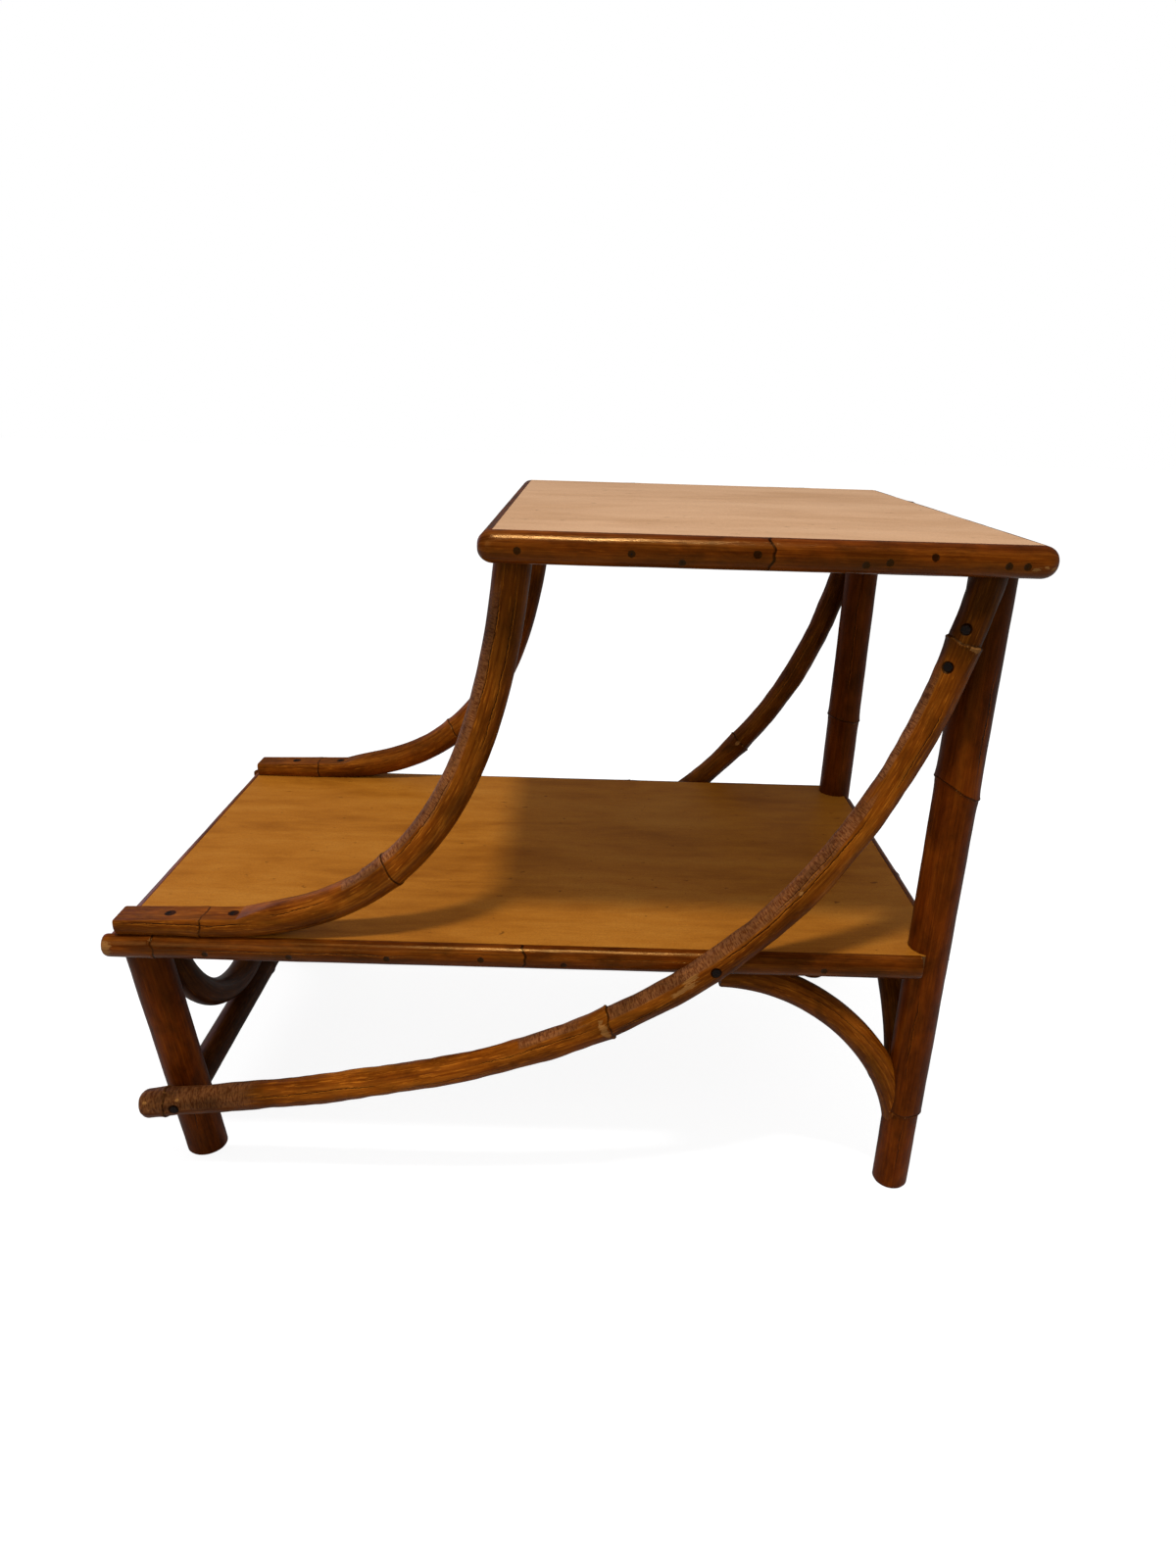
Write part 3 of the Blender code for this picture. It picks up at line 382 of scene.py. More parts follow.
# Hills in relief and in stains at nodes and joints: height, centre, width
NODE_RIDGE = (0.00035, -0.0009, 0.0007)
NODE_DIP = (0.00045, 0.0006, 0.0006)
NODE_RUB = (0.42, 0, 0.0030)
NODE_LINE = (1.0, 0.0006, 0.0009)
JOINT_LINE = (1.3, 0, 0.0010)
# Waves of a cane's unevenness: share, waves round it and in a metre of it, step of the seed
WAVES = ((1.0, 0.9, 24, 0), (0.5, 2.4, 85, 5))
WAVES_SUNK = 0.55


def hill(distance, height, centre, width):
    """A smooth rise of a height round a centre."""
    return height * math.exp(-((distance - centre) / width) ** 2)


def node_relief(distance, swell, ledge):
    """How a cane's surface stands out round a node: a swelling, a ledge, a ridge and a groove."""
    if ledge < 0:
        distance, ledge = -distance, -ledge
    relief = hill(distance, swell, 0, 0.0055) + hill(distance, *NODE_RIDGE)
    relief -= hill(distance, *NODE_DIP)
    if distance < 0:
        relief += ledge * math.exp(distance / 0.016)
    elif distance < 0.0012:
        relief += ledge * (1 - distance / 0.0012)
    return relief


def end_shrink(distance, radius, kind):
    """How much narrower a cane is at a distance from its end, as a share."""
    distance = max(distance, 0.0)
    if kind in ("domed", "round"):
        depth, narrowest = (0.95, 0.16) if kind == "domed" else (0.5, 0.66)
        share = min(distance / (depth * radius), 1.0)
        return narrowest + (1 - narrowest) * math.sqrt(1 - (1 - share) ** 2)
    if kind == "sawn":
        return 1 - 0.05 * (1 - min(distance / 0.0012, 1.0))
    return 1.0


def station_places(total, knots, dents, ends, spacing):
    """Where a cane's rings stand: close at nodes, nails and ends, wide apart between them."""
    count = max(int(total / spacing), 1)
    places = {total * index / count for index in range(count + 1)} | {0.0, total}
    spots = [(knot, 0.009 + abs(slant), int((0.009 + abs(slant)) / RING_STEP))
             for knot, _, slant in knots]
    spots += [(dent[0], 10 * RING_STEP, 10) for dent in dents]
    for spot, reach, count in spots:
        places = {p for p in places if abs(p - spot) > reach or p in (0.0, total)}
        places.update(spot + offset * reach / count for offset in range(-count, count + 1))
    for end, towards, kind in ((0.0, 1, ends[0]), (total, -1, ends[1])):
        places.update(end + towards * step for step in END_RINGS[kind])
    places = sorted(p for p in places if 0.0 <= p <= total)
    return [a for a, b in zip(places, places[1:]) if b - a > 0.00005] + [total]


def drawn_tube(places, sides):
    """A straight tube of unit radius with a ring at each place, closed at both ends."""
    shape = bmesh.new()
    start = bmesh.ops.create_circle(shape, segments=sides, radius=1.0, cap_ends=False)
    bmesh.ops.translate(shape, vec=(0, 0, places[0]), verts=start["verts"])
    ring = shape.edges[:]
    for before, place in zip(places, places[1:]):
        grown = bmesh.ops.extrude_edge_only(shape, edges=ring)["geom"]
        verts = [item for item in grown if isinstance(item, bmesh.types.BMVert)]
        bmesh.ops.translate(shape, vec=(0, 0, place - before), verts=verts)
        fresh = set(verts)
        ring = [item for item in grown if isinstance(item, bmesh.types.BMEdge)
                and item.verts[0] in fresh and item.verts[1] in fresh]
    rims = [edge for edge in shape.edges if edge.is_boundary]
    bmesh.ops.holes_fill(shape, edges=rims, sides=0)
    bmesh.ops.recalc_face_normals(shape, faces=shape.faces)
    return shape


def mesh_from(shape, name, material):
    """Turn a finished bmesh into a mesh of one material."""
    mesh = bpy.data.meshes.new(name)
    shape.to_mesh(mesh)
    shape.free()
    mesh.materials.append(material)
    return mesh


def linked(name, data):
    """A new object in the scene."""
    item = bpy.data.objects.new(name, data)
    bpy.context.scene.collection.objects.link(item)
    return item


def piece_from(shape, name, finish, stands_for=()):
    """Turn a finished bmesh into a named piece of the table that rides on its body."""
    mesh = mesh_from(shape, name, finish)
    mesh.shade_smooth()
    mesh.set_sharp_from_angle(angle=math.radians(SHARP_ANGLE))
    piece = linked(name, mesh)
    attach(piece, "root")
    if stands_for:
        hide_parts(*stands_for)


def tone_and_shade_at(share, tones_and_shade):
    """Lightness of the lacquer, painted shade included, at a share of the length."""
    for (start, low), (end, high) in zip(tones_and_shade, tones_and_shade[1:]):
        if share <= end:
            return low + (high - low) * smooth(share, start, end)
    return tones_and_shade[-1][1]


def nail_dents(route, *names):
    """Where the heads of packed nails sit on a cane: distance along, angle and depth."""
    places = [route.total * step / 400 for step in range(401)]
    stations = [(place, route.at(place)) for place in places]

    def nearest(point):
        return min(stations, key=lambda station: (station[1] - point).length)

    dents = []
    for name in names:
        points = [vert.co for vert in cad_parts[name].data.vertices]
        _, middle = nearest(sum(points, Vector()) / len(points))
        tip = max(points, key=lambda point: (point - middle).length)
        far = max((point - tip).length for point in points)
        heads = [point for point in points if (point - tip).length > far - NAIL_HEAD_HEIGHT]
        head = sum(heads, Vector()) / len(heads)
        place, middle = nearest(head)
        way = route.direction(place)
        first = (Vector((0, 1, 0)) - way * way.y).normalized()
        out = head - middle
        turn = math.atan2(out.dot(way.cross(first)), out.dot(first))
        dents.append((place, turn, NAIL_PIT_DEPTH))
    return tuple(dents)


def apart(angle, turn):
    """The signed angle between two directions round a cane."""
    return (angle - turn + math.pi) % math.tau - math.pi


def around_nodes(knots, foot, radius, distance, angle, seed):
    """At a place near nodes: how far the cane stands out, its rubbed lacquer and its groove."""
    east, north = math.cos(angle), math.sin(angle)
    lift = rub = groove = 0.0
    for number, (knot, ledge, slant) in enumerate(knots):
        wander = slant * north + 0.0006 * math.sin(3 * angle + seed + number)
        wander += 0.0012 * drift((east * 2, north * 2, number), seed + 9)
        off = distance - knot - wander
        if abs(off) < NODE_REACH:
            swell = 0.0 if foot and knot == foot[0] else radius * NODE_SWELL * 0.6
            lift += node_relief(off, swell, ledge)
            rub = max(rub, hill(off, *NODE_RUB))
            groove = max(groove, hill(off, *NODE_LINE))
    return lift, rub, groove


def near_ends(ends, total, radius, distance, angle):
    """At a place near the ends: narrowing, shift along the cane, rubbed lacquer and groove."""
    east, north = math.cos(angle), math.sin(angle)
    shrink, shift, rub, groove = 1.0, 0.0, 0.0, 0.0
    for off, kind in ((distance, ends[0]), (total - distance, ends[1])):
        shrink = min(shrink, end_shrink(off, radius, kind))
        if kind == "joint":
            jag = 0.0014 * math.cos(1.9 * angle) + 0.0022 * drift((east * 2.6, north * 2.6, 0), 77)
            shift += jag * (1 - smooth(off, 0.0, 0.012))
            groove = max(groove, hill(off, *JOINT_LINE))
        elif kind != "hidden":
            rub = max(rub, END_RUBS[kind] * math.exp(-off / 0.0030))
    return shrink, shift, rub, groove


def in_dents(dents, radius, pit_radius, distance, angle):
    """How deep a place lies in a nail's hole, and how dark it is there."""
    sunk = hole = 0.0
    for place, turn, depth in dents:
        reach = math.hypot(distance - place, apart(angle, turn) * radius)
        if reach < 1.5 * pit_radius:
            sunk += depth * (1 - smooth(reach, 0.7 * pit_radius, 1.1 * pit_radius))
            hole = max(hole, 1 - smooth(reach, 0.75 * pit_radius, 1.25 * pit_radius))
    return sunk, hole


def rubbed_at(worn, radius, distance, angle):
    """How far the lacquer is gone in the worn places."""
    rub = 0.0
    for place, turn, half_length, half_width in worn:
        aside = apart(angle, turn) * radius / half_width
        rub = max(rub, 1.15 - 0.9 * math.hypot((distance - place) / half_length, aside))
    return rub


def skin_and_sheen_at(skins, distance, angle):
    """How much pale skin and painted sheen the cane shows here."""
    turn = angle % math.tau
    left = 0.0
    for start, end, lowest, highest in skins:
        if start < distance < end:
            left = max(left, min(smooth(distance, start, start + 0.002),
                                 1 - smooth(distance, end - 0.04, end),
                                 smooth(turn, lowest - 0.3, lowest),
                                 1 - smooth(turn, highest - 0.15, highest + 0.15)))
    return left


def crack_at(distance, cracks, seed):
    """Angle and half width of the crack that passes a distance along the cane."""
    for start, end, angle, half_width in cracks:
        if start <= distance <= end:
            share = (distance - start) / (end - start)
            taper = min(1.0, 6 * share, 6 * (1 - share))
            wander = 0.10 * drift((distance * 45, angle, 0), seed)
            return angle + wander, half_width * taper, 0.0
    return 0.0, -0.001, 0.0


def meeting(route, frame_at, angle, radius, leg, end):
    """How far from its end a line along a cane meets a leg's surface."""
    foot, way, leg_radius = leg
    from_end = COPE_SPAN
    while from_end > 0.0:
        middle, first, second = frame_at(route.total - from_end if end else from_end)
        off = middle + (first * math.cos(angle) + second * math.sin(angle)) * radius - foot
        off -= way * off.dot(way)
        if off.length <= leg_radius:
            return from_end
        from_end -= COPE_STEP
    return 0.0


def cane_shape(route, diameter, marks=PLAIN, ends=("sawn", "sawn"), across=(0, 1, 0), seed=1,
               foot=None, sides=44, spacing=0.0045, copes=(None, None), uneven=0.014,
               pit_radius=NAIL_PIT_RADIUS):
    """A cane drawn along a route, with its own unevenness and the marks named above.

    foot is the length and the diameter of a thinner first stretch. copes give the leg that an
    end is shaped to. dents in the marks are nail holes by distance, angle and depth.
    """
    marks = PLAIN | marks
    total = route.total
    radius = diameter / 2
    knots = [(share * total, ledge, slant) for share, ledge, slant in marks["nodes"]]
    if foot:
        knots.append((foot[0], 0.0, 0.0))
    shape = drawn_tube(station_places(total, knots, marks["dents"], ends, spacing), sides)
    layers = shape.verts.layers
    grain = layers.float_vector.new("grain")
    wear, ring, pit, tone, skin = (layers.float.new(name)
                                   for name in ("wear", "ring", "pit", "tone", "skin"))
    lanes = [layers.float_vector.new(name) for name in CRACK_LANES]
    limits = {}

    @cache
    def tone_shade_and_cracks_at(distance):
        """Lightness of the lacquer with its painted shade, and the cracks, at a distance."""
        split = [crack_at(distance, marks["cracks"][number::len(lanes)], seed)
                 for number in range(len(lanes))]
        return tone_and_shade_at(distance / total, marks["tones_and_shade"]), split

    @cache
    def frame_at(distance):
        """The middle of a ring and its two directions across."""
        way = route.direction(distance)
        first = (Vector(across) - way * Vector(across).dot(way)).normalized()
        return route.at(distance), first, way.cross(first)

    def limited(angle, distance):
        """Pull the last stretch of a line back to where it meets the leg."""
        for end, leg in enumerate(copes):
            from_end = total - distance if end else distance
            if leg is None or from_end > COPE_SPAN:
                continue
            key = (end, round(angle, 4))
            if key not in limits:
                limits[key] = meeting(route, frame_at, angle, radius, leg, end)
            from_end = COPE_SPAN - (COPE_SPAN - from_end) * (COPE_SPAN - limits[key]) / COPE_SPAN
            distance = total - from_end if end else from_end
        return distance

    for vert in shape.verts:
        distance = vert.co.z
        angle = math.atan2(vert.co.y, vert.co.x)
        east, north = math.cos(angle), math.sin(angle)
        body = foot[1] / 2 if foot and distance < foot[0] else radius
        lift = 0.0
        for share, around, along, step in WAVES:
            wave = drift((east * around, north * around, distance * along), seed + step)
            lift += radius * uneven * share * wave
        lift -= radius * uneven * WAVES_SUNK
        relief, node_rub, node_groove = around_nodes(knots, foot, radius, distance, angle, seed)
        sunk, vert[pit] = in_dents(marks["dents"], radius, pit_radius, distance, angle)
        lift += relief - sunk
        shrink, shift, end_rub, end_groove = near_ends(ends, total, radius, distance, angle)
        vert[wear] = max(node_rub, end_rub, rubbed_at(marks["worn"], radius, distance, angle))
        vert[ring] = max(node_groove, end_groove)
        vert[grain] = (east * body, north * body, distance + seed * 0.83)
        vert[skin] = skin_and_sheen_at(marks["skin"], distance, angle)
        vert[tone], split = tone_shade_and_cracks_at(distance)
        for lane, crack in zip(lanes, split):
            vert[lane] = crack
        middle, first, second = frame_at(limited(angle, distance))
        vert.co = middle + (first * east + second * north) * ((body + lift) * shrink)
        vert.co += second.cross(first) * -shift
    return shape


def saw(shape, place, way):
    """Cut a shape at a plane, drop what lies beyond it, and close the cut."""
    everything = shape.verts[:] + shape.edges[:] + shape.faces[:]
    bmesh.ops.bisect_plane(shape, geom=everything, dist=0.000001, plane_co=place, plane_no=way,
                           clear_outer=True)
    rim = [edge for edge in shape.edges if edge.is_boundary]
    bmesh.ops.holes_fill(shape, edges=rim, sides=0)


def saw_level(shape, low=None, high=None):
    """Saw a cane level at a height below or above."""
    for height, way in ((low, -1), (high, 1)):
        if height is not None:
            saw(shape, (0, 0, height), (0, 0, way))


def make_cane(node, finish, route, diameter, marks=PLAIN, low=None, high=None, name=None,
              planed=None, **details):
    """A cane in place of its CAD node, planed, and sawn level below low and above high."""
    shape = cane_shape(route, diameter, marks, **details)
    if planed:
        planed(shape)
    saw_level(shape, low, high)
    piece_from(shape, (name or node) + "_cane", FINISHES[finish], (node,))


# Finishes. The lacquer has an amber shine; pale skin is pinkish, and so is the painted sheen drawn
# with it.
BUMP_HEIGHT = 0.0004
AMBER = (1.0, 0.52, 0.14)
PINKISH = (0.235, 0.094, 0.034)


class Signal:
    """A shader output that can be reckoned with. The sign | gives the larger of two."""

    def __init__(self, made, output):
        self.made, self.output = made, output

    def __add__(self, other):
        return self.made.maths("ADD", self, other)

    def __sub__(self, other):
        return self.made.maths("SUBTRACT", self, other)

    def __mul__(self, other):
        return self.made.maths("MULTIPLY", self, other)

    def __or__(self, other):
        return self.made.maths("MAXIMUM", self, other)

    def __abs__(self):
        return self.made.maths("ABSOLUTE", self)

    def span(self, low, high, to_low=0.0, to_high=1.0):
        """Stretch the range from low to high to another one, and clamp it there."""
        return self.made.add("ShaderNodeMapRange", "Result", {
            "Value": self, "From Min": low, "From Max": high, "To Min": to_low, "To Max": to_high})


class Nodes:
    """Short ways to place and join the shader nodes of a material or a world."""

    def __init__(self, owner, shader="Principled BSDF"):
        owner.use_nodes = True
        self.owner = owner
        self.tree = owner.node_tree
        self.shader = self.tree.nodes[shader]

    def put(self, socket, value):
        """Join a signal to a socket, or set the socket to a number, a colour or a vector."""
        if isinstance(value, Signal):
            self.tree.links.new(value.output, socket)
        elif isinstance(value, tuple) and socket.type == "RGBA":
            socket.default_value = (*value, 1)
        else:
            socket.default_value = value

    def node(self, kind, sockets=None, **settings):
        node = self.tree.nodes.new(kind)
        for key, value in settings.items():
            setattr(node, key, value)
        self.fill(node, sockets or {})
        return node

    def fill(self, node, sockets):
        for key, value in sockets.items():
            self.put(node.inputs[key], value)

    def add(self, kind, output, sockets=None, **settings):
        """A new node's output as a signal."""
        return Signal(self, self.node(kind, sockets, **settings).outputs[output])

    def attribute(self, name, output="Fac"):
        """What the piece's vertices carry under a name."""
        return self.add("ShaderNodeAttribute", output, attribute_name=name)

    def object_place(self):
        return self.add("ShaderNodeTexCoord", "Object")

    def parts(self, source):
        """The X, Y and Z of a vector."""
        outputs = self.node("ShaderNodeSeparateXYZ", {"Vector": source}).outputs
        return [Signal(self, outputs[axis]) for axis in "XYZ"]

    def maths(self, kind, *values):
        return self.add("ShaderNodeMath", "Value", dict(enumerate(values)), operation=kind)

    def speckle(self, source, scale, detail=3.0, rough=0.55, bend=0.0):
        """Noise with so many spots a metre along each axis of the source."""
        place = self.add("ShaderNodeMapping", "Vector", {"Vector": source, "Scale": scale})
        return self.add("ShaderNodeTexNoise", "Fac", {
            "Vector": place, "Scale": 1.0, "Detail": detail, "Roughness": rough,
            "Distortion": bend})

    def ramp(self, source, *stops):
        node = self.node("ShaderNodeValToRGB", {"Fac": source})
        elements = node.color_ramp.elements
        while len(elements) < len(stops):
            elements.new(0.5)
        for element, (place, colour) in zip(elements, stops):
            element.position = place
            element.color = (*colour, 1)
        return Signal(self, node.outputs["Color"])

    def blend(self, share, first, second, kind="MIX"):
        """Mix two colours. The node's sockets 6 and 7 and its output 2 are the ones for colours."""
        return self.add("ShaderNodeMix", 2, {"Factor": share, 6: first, 7: second},
                        data_type="RGBA", blend_type=kind)

    def shaded(self, colour, shade):
        """A colour made darker or lighter by a signal."""
        grey = self.add("ShaderNodeCombineColor", "Color",
                        {"Red": shade, "Green": shade, "Blue": shade})
        return self.blend(1.0, colour, grey, "MULTIPLY")

    def finish(self, colour, roughness, height, bump, specular, tint=(1, 1, 1)):
        """Join the surface's looks to the shader, and give the material."""
        normal = self.add("ShaderNodeBump", "Normal", {
            "Strength": bump, "Distance": BUMP_HEIGHT, "Height": height})
        self.fill(self.shader, {
            "Base Color": colour, "Roughness": roughness, "Specular IOR Level": specular,
            "Specular Tint": tint, "Normal": normal})
        return self.owner


def times(colour, factor):
    return tuple(channel * factor for channel in colour)


def crack_masks(made, source, radius):
    """Where a crack is open, and where a painted highlight lies along its lifted lip."""
    x, y, _ = made.parts(source)
    angle = made.maths("ARCTAN2", y, x)
    jitter = made.speckle(source, (300, 300, 420), detail=2).span(0.3, 0.7, -0.0004, 0.0004)
    gaps, lip_highlights = [], []
    for name in CRACK_LANES:
        lane_angle, half_width, _ = made.parts(made.attribute(name, "Vector"))
        turn = made.maths("WRAP", angle - lane_angle, math.pi, -math.pi)
        reach = turn * radius + jitter
        gaps.append((half_width - abs(reach)).span(-0.0001, 0.00015))
        lip_highlights.append((half_width - abs(reach - 0.0007)).span(-0.0001, 0.0002))
    return gaps[0] | gaps[1], lip_highlights[0] | lip_highlights[1]


def cane_finish(name, dark, middle, light, bare, roughness=0.36, specular=0.14, radius=0.013,
                flaky=0.25):
    """Lacquered cane: fibres, mottling, pale skin with painted sheen, cracks, and bare chips where
    it is worn.
    """
    made = Nodes(bpy.data.materials.new(name))
    source = made.attribute("grain", "Vector")
    spots = partial(made.speckle, source)
    fibres = spots((560, 560, 9), detail=6, rough=0.7)
    broad = spots((120, 120, 16), detail=4, rough=0.6)
    fine = spots((1700, 1700, 60), detail=2)
    patches = spots((55, 55, 26), detail=5, rough=0.65, bend=0.4)
    streaks = spots((620, 620, 26), detail=5, rough=0.7)
    wrinkles = spots((210, 210, 1300), detail=4, rough=0.65)
    flakes = spots((750, 750, 60), detail=4, rough=0.6)
    chips = spots((380, 380, 120), detail=7, rough=0.75)

    colour = made.ramp(fibres * 0.55 + broad * 0.45, (0.34, dark), (0.50, middle), (0.66, light))
    flecks = fine.span(0.56, 0.70) * 0.45 | streaks.span(0.57, 0.65) * 0.60
    colour = made.blend(flecks, colour, dark)
    # Pale skin with a painted pinkish sheen on the upper flanks, and its wrinkles.
    skin = made.attribute("skin")
    ragged = skin + streaks.span(0.3, 0.7, -0.45, 0.45)
    skin = skin * ragged.span(0.35, 0.65)
    strokes = wrinkles.span(0.48, 0.56) * skin
    colour = made.blend(flakes.span(0.57, 0.66) * flaky, colour, times(light, 1.4))
    colour = made.blend(skin * 0.6, colour, PINKISH)
    colour = made.blend(strokes * 0.8, colour, dark)
    mottling = patches.span(0.36, 0.64, 0.62, 1.32)
    # Random mottling, times the tone: lacquer lightness with painted shade under the panels.
    colour = made.shaded(colour, mottling * made.attribute("tone"))

    gap, lip_highlight = crack_masks(made, source, radius)
    # Painted highlight along the lifted lip of each crack.
    colour = made.blend(lip_highlight * chips.span(0.38, 0.52) * 0.75, colour, times(light, 1.5))
    worn = (made.attribute("wear") + chips * 1.9).span(1.46, 1.56)
    pale = made.ramp(streaks, (0.35, times(bare, 0.45)), (0.62, bare))
    colour = made.blend(worn * 0.85, colour, pale)
    ring = made.attribute("ring").span(0.35, 0.85) * patches.span(0.36, 0.50, 0.35, 0.95)
    pit = (made.attribute("pit") + chips * 0.5).span(0.45, 0.75)
    colour = made.blend((gap | (ring | pit)) * 0.92, colour, times(dark, 0.15))

    rough = fibres.span(0.3, 0.7, roughness - 0.06, roughness + 0.12) + worn * 0.3
    height = fibres * 0.45 + fine * 0.15 - worn * 0.35 - gap * 0.9 + patches * 0.8 - strokes * 0.8
    return made.finish(colour, rough, height, 0.7, specular, AMBER)


def veneer_finish(name, dark, middle, light, streak, cloudy, roughness):
    """A thin veneer: soft broken streaks along X, cloudy patches and a few small specks."""
    made = Nodes(bpy.data.materials.new(name))
    spots = partial(made.speckle, made.object_place())
    cloud = spots((5.5, 13, 5), detail=5, rough=0.6, bend=0.6)
    bands = spots((10, 60, 5), detail=7, rough=0.72, bend=0.5)
    pores = spots((60, 900, 5), detail=4, rough=0.7)
    fleck = spots((420, 1500, 5), detail=2)
    grit = spots((650, 1000, 5), detail=3, rough=0.7)
    specks = spots((95, 150, 5), detail=2)
    colour = made.ramp(cloud * cloudy + bands * (1 - cloudy),
                       (0.35, dark), (0.5, middle), (0.65, light))
    fibre = pores.span(0.50, 0.68) | fleck.span(0.52, 0.75)
    colour = made.blend(fibre * streak, colour, dark)
    colour = made.shaded(colour, grit.span(0.3, 0.7, 1 - 0.35 * streak, 1 + 0.35 * streak))
    colour = made.blend(specks.span(0.715, 0.735) * 0.6, colour, times(dark, 0.3))
    rough = bands.span(0.3, 0.7, roughness - 0.05, roughness + 0.08)
    return made.finish(colour, rough, pores * 0.6 + bands * 0.4, 0.14, 0.08, AMBER)


def core_finish():
    """Plywood: thin layers on the edges, plain grain below."""
    made = Nodes(bpy.data.materials.new("plywood"))
    spots = partial(made.speckle, made.object_place())
    grain = spots((9, 260, 9), detail=5, rough=0.6, bend=0.2)
    layers = spots((4, 4, 900), detail=1)
    colour = made.ramp(grain * 0.7 + layers * 0.3, (0.35, (0.085, 0.032, 0.008)),
                       (0.5, (0.135, 0.055, 0.014)), (0.65, (0.19, 0.085, 0.024)))
    return made.finish(colour, 0.62, grain, 0.3, 0.15)


def iron_finish():
    """Old nail iron, dark with a little rust."""
    made = Nodes(bpy.data.materials.new("nail_iron"))
    rust = made.speckle(made.object_place(), (900, 900, 900), detail=4)
    colour = made.ramp(rust, (0.40, (0.005, 0.0032, 0.0025)), (0.62, (0.014, 0.007, 0.004)),
                       (0.75, (0.045, 0.017, 0.007)))
    made.fill(made.shader, {"Metallic": 0.2})
    return made.finish(colour, rust.span(0.3, 0.7, 0.45, 0.7), rust, 0.3, 0.15)


FINISHES = {}
CANE_LOOKS = {
    "leg": {},
    "bent": {"flaky": 0.7},
    "trim": {"roughness": 0.20, "specular": 0.40},
}
VENEER_LOOKS = {
    "top": {"streak": 0.40, "cloudy": 0.75, "roughness": 0.42},
    "shelf": {"streak": 0.45, "cloudy": 0.55, "roughness": 0.36},
}


def make_finishes(colours):
    """All finishes of the table, made once from the panel's colours."""

    def shades(part):
        return [tuple(getattr(colours, f"{part}_{shade}")) for shade in SHADES]

    for part, looks in CANE_LOOKS.items():
        FINISHES[part] = cane_finish(part + "_cane", *shades(part), tuple(colours.bare_cane),
                                     **looks)
    for part, looks in VENEER_LOOKS.items():
        FINISHES[part] = veneer_finish(part + "_veneer", *shades(part), **looks)
    FINISHES["core"] = core_finish()
    FINISHES["iron"] = iron_finish()


def dress_nodes(finish, *names):
    """Give carried-over CAD nodes their finish."""
    for name in names:
        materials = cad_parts[name].data.materials
        materials.clear()
        materials.append(FINISHES[finish])


# The panel's settings. Colours go from dark to light, after the words on where they are seen.
COLOURS = {
    "leg": ("fibres of the legs",
            (0.045, 0.0060, 0.0003), (0.098, 0.0170, 0.0006), (0.150, 0.033, 0.0017)),
    "bent": ("fibres of the bent canes",
             (0.075, 0.0120, 0.0006), (0.162, 0.0380, 0.0019), (0.255, 0.0760, 0.0055)),
    "trim": ("fibres of the trims",
             (0.056, 0.0080, 0.0004), (0.110, 0.0215, 0.0009), (0.190, 0.0490, 0.0030)),
    "top": ("streaks of the top",
            (0.480, 0.270, 0.140), (0.560, 0.330, 0.185), (0.600, 0.365, 0.210)),
    "shelf": ("streaks of the shelf",
              (0.245, 0.075, 0.0050), (0.360, 0.125, 0.0110), (0.425, 0.166, 0.0200)),
}
SHADES = {"dark": "Darkest", "middle": "Main", "light": "Lightest"}


def colour_setting(name, text, value):
    return bpy.props.FloatVectorProperty(name=name, description=text, subtype="COLOR", size=3,
                                         min=0.0, max=1.0, default=value)


class CaneColours(bpy.types.PropertyGroup):
    """Colours of the cane, the trims and the veneers."""

    bare_cane: colour_setting("Bare cane", "Cane where the lacquer is chipped",
                              (0.37, 0.155, 0.038))


def add_shades():
    """Give the panel a setting for each shade of each part."""
    for part, (where, *colours) in COLOURS.items():
        for (shade, word), colour in zip(SHADES.items(), colours):
            CaneColours.__annotations__[f"{part}_{shade}"] = colour_setting(
                f"{part.capitalize()} {shade}", f"{word} {where}", colour)


add_shades()


class CaneSizes(bpy.types.PropertyGroup):
    """Sizes that only the dressing uses."""

    brad_radius: bpy.props.FloatProperty(
        name="Brad head radius", description="Radius of the small nail heads in the trims",
        unit="LENGTH", default=0.0014, min=0.0005, max=0.004)


# Operators, one for each group of pieces


class TABLE_OT_panels(bpy.types.Operator):
    """Give the plywood cores and the veneers their finishes"""

    bl_idname = "cane_table.panels"
    bl_label = "Panels"

    def execute(self, context):
        dress_nodes("core", "top_core", "shelf_core")
        dress_nodes("top", "top_veneer")
        dress_nodes("shelf", "shelf_veneer")
        return {"FINISHED"}


def split_cane(node, start, end, out, ends, marks, seed):
    """A trim: half a cane with its flat on the panel's edge, in place of its CAD node."""
    low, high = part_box(node)
    height = high.z - low.z
    depth = (high - low).dot(Vector([abs(part) for part in out]))
    shape = cane_shape(Route(straight(start, end)), height, marks, ends=ends, across=out,
                       seed=seed, sides=56, spacing=0.006, pit_radius=BRAD_PIT_RADIUS)
    for vert in shape.verts:
        vert.co += out * (vert.co - start).dot(out) * (depth / (height / 2) - 1)
    saw(shape, start, -out)
    for vert in shape.verts:
        for axis in (0 if out.x else 1, 2):
            vert.co[axis] = min(max(vert.co[axis], low[axis]), high[axis])
    piece_from(shape, node + "_cane", FINISHES["trim"], (node,))


def nail_head(shape, place, out, radius):
    """A small domed nail head that faces out, added to a bmesh."""
    made = bmesh.ops.create_cone(shape, cap_ends=True, segments=16, radius1=radius,
                                 radius2=radius * 0.8, depth=radius * 0.5)
    crown = [edge for edge in shape.edges
             if all(vert in made["verts"] and vert.co.z > 0 for vert in edge.verts)]
    rounded = bmesh.ops.bevel(shape, geom=crown, offset=radius * 0.35, offset_type="OFFSET",
                              segments=3, profile=0.5, affect="EDGES", material=-1,
                              clamp_overlap=True)
    verts = {vert for vert in made["verts"] if vert.is_valid} | set(rounded["verts"])
    turned = Vector(out).to_track_quat("Z", "Y").to_matrix().to_4x4()
    bmesh.ops.transform(shape, matrix=Matrix.Translation(place) @ turned, verts=list(verts))


